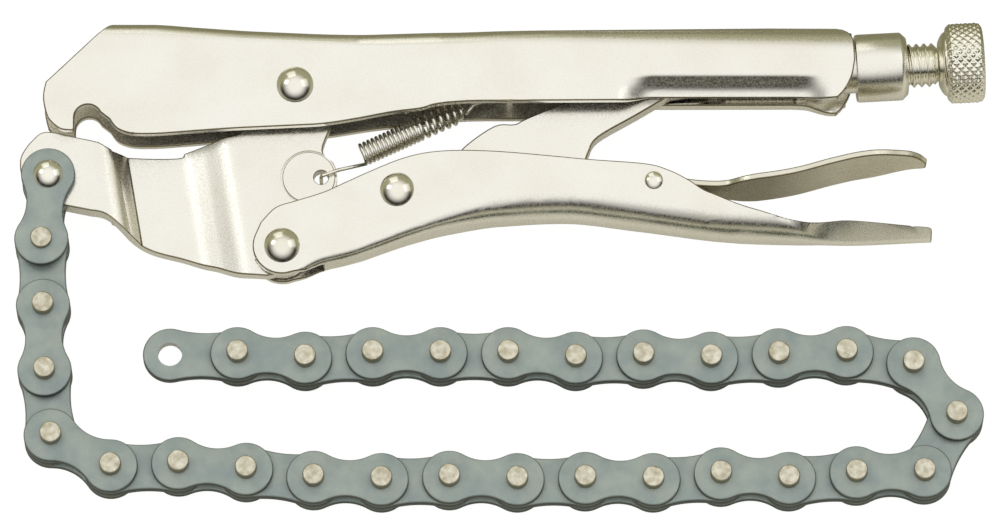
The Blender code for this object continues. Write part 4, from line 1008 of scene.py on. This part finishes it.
# %% The knurled knob
GROOVE_SHAPE = 1.3
NECK_SIZE, NECK_BELL = 0.8, 0.3  # the neck's radius as a share of the knob's, and how far it narrows
KNOB_SHARP = math.radians(70)
tree, given, out = new_tree(
    "knurled_knob", "Start", "Shoulder", "Length", "Radius", "Round", "Depth", "Pitch", "Ribs")
knob_tree = tree
blank, share, angle, x, y = turned_piece(tree, 240, 84)
gone = share * (given["Shoulder"] + given["Length"])
into = gone - given["Shoulder"]
lead, twist = into / given["Pitch"], angle * given["Ribs"]
groove = saw(lead + twist).do("MAXIMUM", saw(lead - twist)) ** GROOVE_SHAPE * given["Depth"]
edge = into.do("MAXIMUM", 0.0).do("MINIMUM", given["Length"] - into)
lack = (given["Round"] - edge).do("MAXIMUM", 0.0)
fall = given["Round"] - (given["Round"] ** 2.0 - lack**2.0).do("SQRT")
bell = 1.0 - (1.0 - gone / given["Shoulder"]) ** 2.0 * NECK_BELL
size = choose(tree, into < 0.0, bell * (given["Radius"] * NECK_SIZE), given["Radius"] - fall - groove)
lay_along(tree, blank, given["Start"] + gone, size, x, y, given, out, bright_nickel)
knob = grow(knob_tree, "knurled_knob", Start=20.0 * MM, Shoulder=1.8 * MM, Length=8.8 * MM, Radius=9.5 * MM,
            Round=1.6 * MM, Depth=0.45 * MM, Pitch=2.0 * MM, Ribs=30.0, Place=tuple(seat), Heading=SLOPE)
knob.data.set_sharp_from_angle(angle=KNOB_SHARP)
dress(knob, "knob", "bright_steel", "adjusting_knob")
print("knurled knob:", len(knob.data.polygons), "faces")

# %% The sleeve
BORE, SLEEVE_END, FLANGE, NECK, NECK_END = 5.5, 12.5, 8.05, 5.8, -13.7
AROUND = 96
SLEEVE_SHARP = math.radians(40)
# radius and place along the axis, from the rear chamfer over the flange and the neck into the bore
profile = [
    (BORE + 0.3, SLEEVE_END), (FLANGE - 1.5, SLEEVE_END), (FLANGE - 1.25, SLEEVE_END - 0.1),
    (FLANGE - 0.1, SLEEVE_END - 1.3), (FLANGE, SLEEVE_END - 1.6), (FLANGE, 1.0), (FLANGE - 0.15, 0.45),
    (FLANGE - 0.45, 0.3), (NECK, 0.3), (NECK, NECK_END), (BORE, NECK_END), (BORE, SLEEVE_END - 0.3),
]
lean = Matrix.Rotation(SLOPE, 3, "Z")
turns = np.arange(AROUND) * 2 * math.pi / AROUND
circles = [[seat + lean @ (Vector((x, radius * math.cos(turn), radius * math.sin(turn))) * MM)
            for turn in turns] for radius, x in profile]
sleeve = loft("turned_sleeve", circles, ring=True)
sleeve.data.shade_smooth()
sleeve.data.set_sharp_from_angle(angle=SLEEVE_SHARP)
sleeve.data.materials.append(satin_nickel)
dress(sleeve, "upper", "satin_nickel", "screw_sleeve")
print("sleeve:", len(sleeve.data.polygons), "faces")

# %% [markdown]
# ## The spring
#
# The spring is one wire: a hook through the jaw's hole, close turns, wider turns and a straight tail to its
# pin. Its middle line is a helix worked out by a loop, and a bevelled curve gives it its round wire.

# %% The tension spring
COIL_START, COIL_LEAN = (15.8, -14.9, 0), math.radians(25.2)
WIRE, COIL, HOOK_OVER = 0.44, 2.4, 2.9  # radii of the wire and of the turns, and the hook's height
TURNS, CLOSE_TURNS, TAPER_TURNS, STEPS = 21, 14, 2, 24
CLOSE_PITCH, WIDE_PITCH, TAPER = 1.05, 1.75, 0.55
TAIL_LEAD, TAIL_END, BLEND_END = 1.8, 37, 31
SAME_PLACE = 0.002 * MM
start = np.array(COIL_START)
along = np.array((math.cos(COIL_LEAN), math.sin(COIL_LEAN), 0))
across = np.array((-along[1], along[0], 0))
up = np.array((0, 0, 1.0))
middle = np.array((*spring_hole, 0))
way = start - across * COIL - middle
lead = way / np.linalg.norm(way)
over = middle + up * HOOK_OVER
path = [middle - up * HOOK_OVER, middle - up * 1.2, over - up * 1.1, over - up * 0.35 + lead * 0.1]
path += [over + lead * forward for forward in (0.5, 2.6, 4.3)]
travelled = 0.0
for step in range(TURNS * STEPS + 1):
    angle = 2 * math.pi * step / STEPS - math.pi / 2
    radius = COIL * (1 - TAPER * max(step / STEPS - (TURNS - TAPER_TURNS), 0) / TAPER_TURNS)
    path.append(start + along * travelled + (up * math.cos(angle) + across * math.sin(angle)) * radius)
    travelled += (CLOSE_PITCH if step < CLOSE_TURNS * STEPS else WIDE_PITCH) / STEPS
path += [start + along * (travelled + TAIL_LEAD), start + along * TAIL_END]
curve = bpy.data.curves.new("wound_spring", "CURVE")
curve.dimensions = "3D"
curve.bevel_depth = WIRE * MM
curve.bevel_resolution = 2
curve.use_fill_caps = True
line = curve.splines.new("POLY")
line.points.add(len(path) - 1)
for point, spot in zip(line.points, path):
    point.co = (*at(*spot), 1)
guide = new_object("spring_guide", curve)
mesh = evaluated_mesh(guide)
bpy.data.objects.remove(guide, do_unlink=True)
shape = bmesh.new()
shape.from_mesh(mesh)
bmesh.ops.remove_doubles(shape, verts=shape.verts, dist=SAME_PLACE)
shape.to_mesh(mesh)
shape.free()
mesh.shade_smooth()
mesh.materials.clear()
mesh.materials.append(bright_nickel)
spring = new_object("wound_spring", mesh)
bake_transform(spring)
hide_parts("tension_spring")
print("spring:", len(mesh.polygons), "faces")
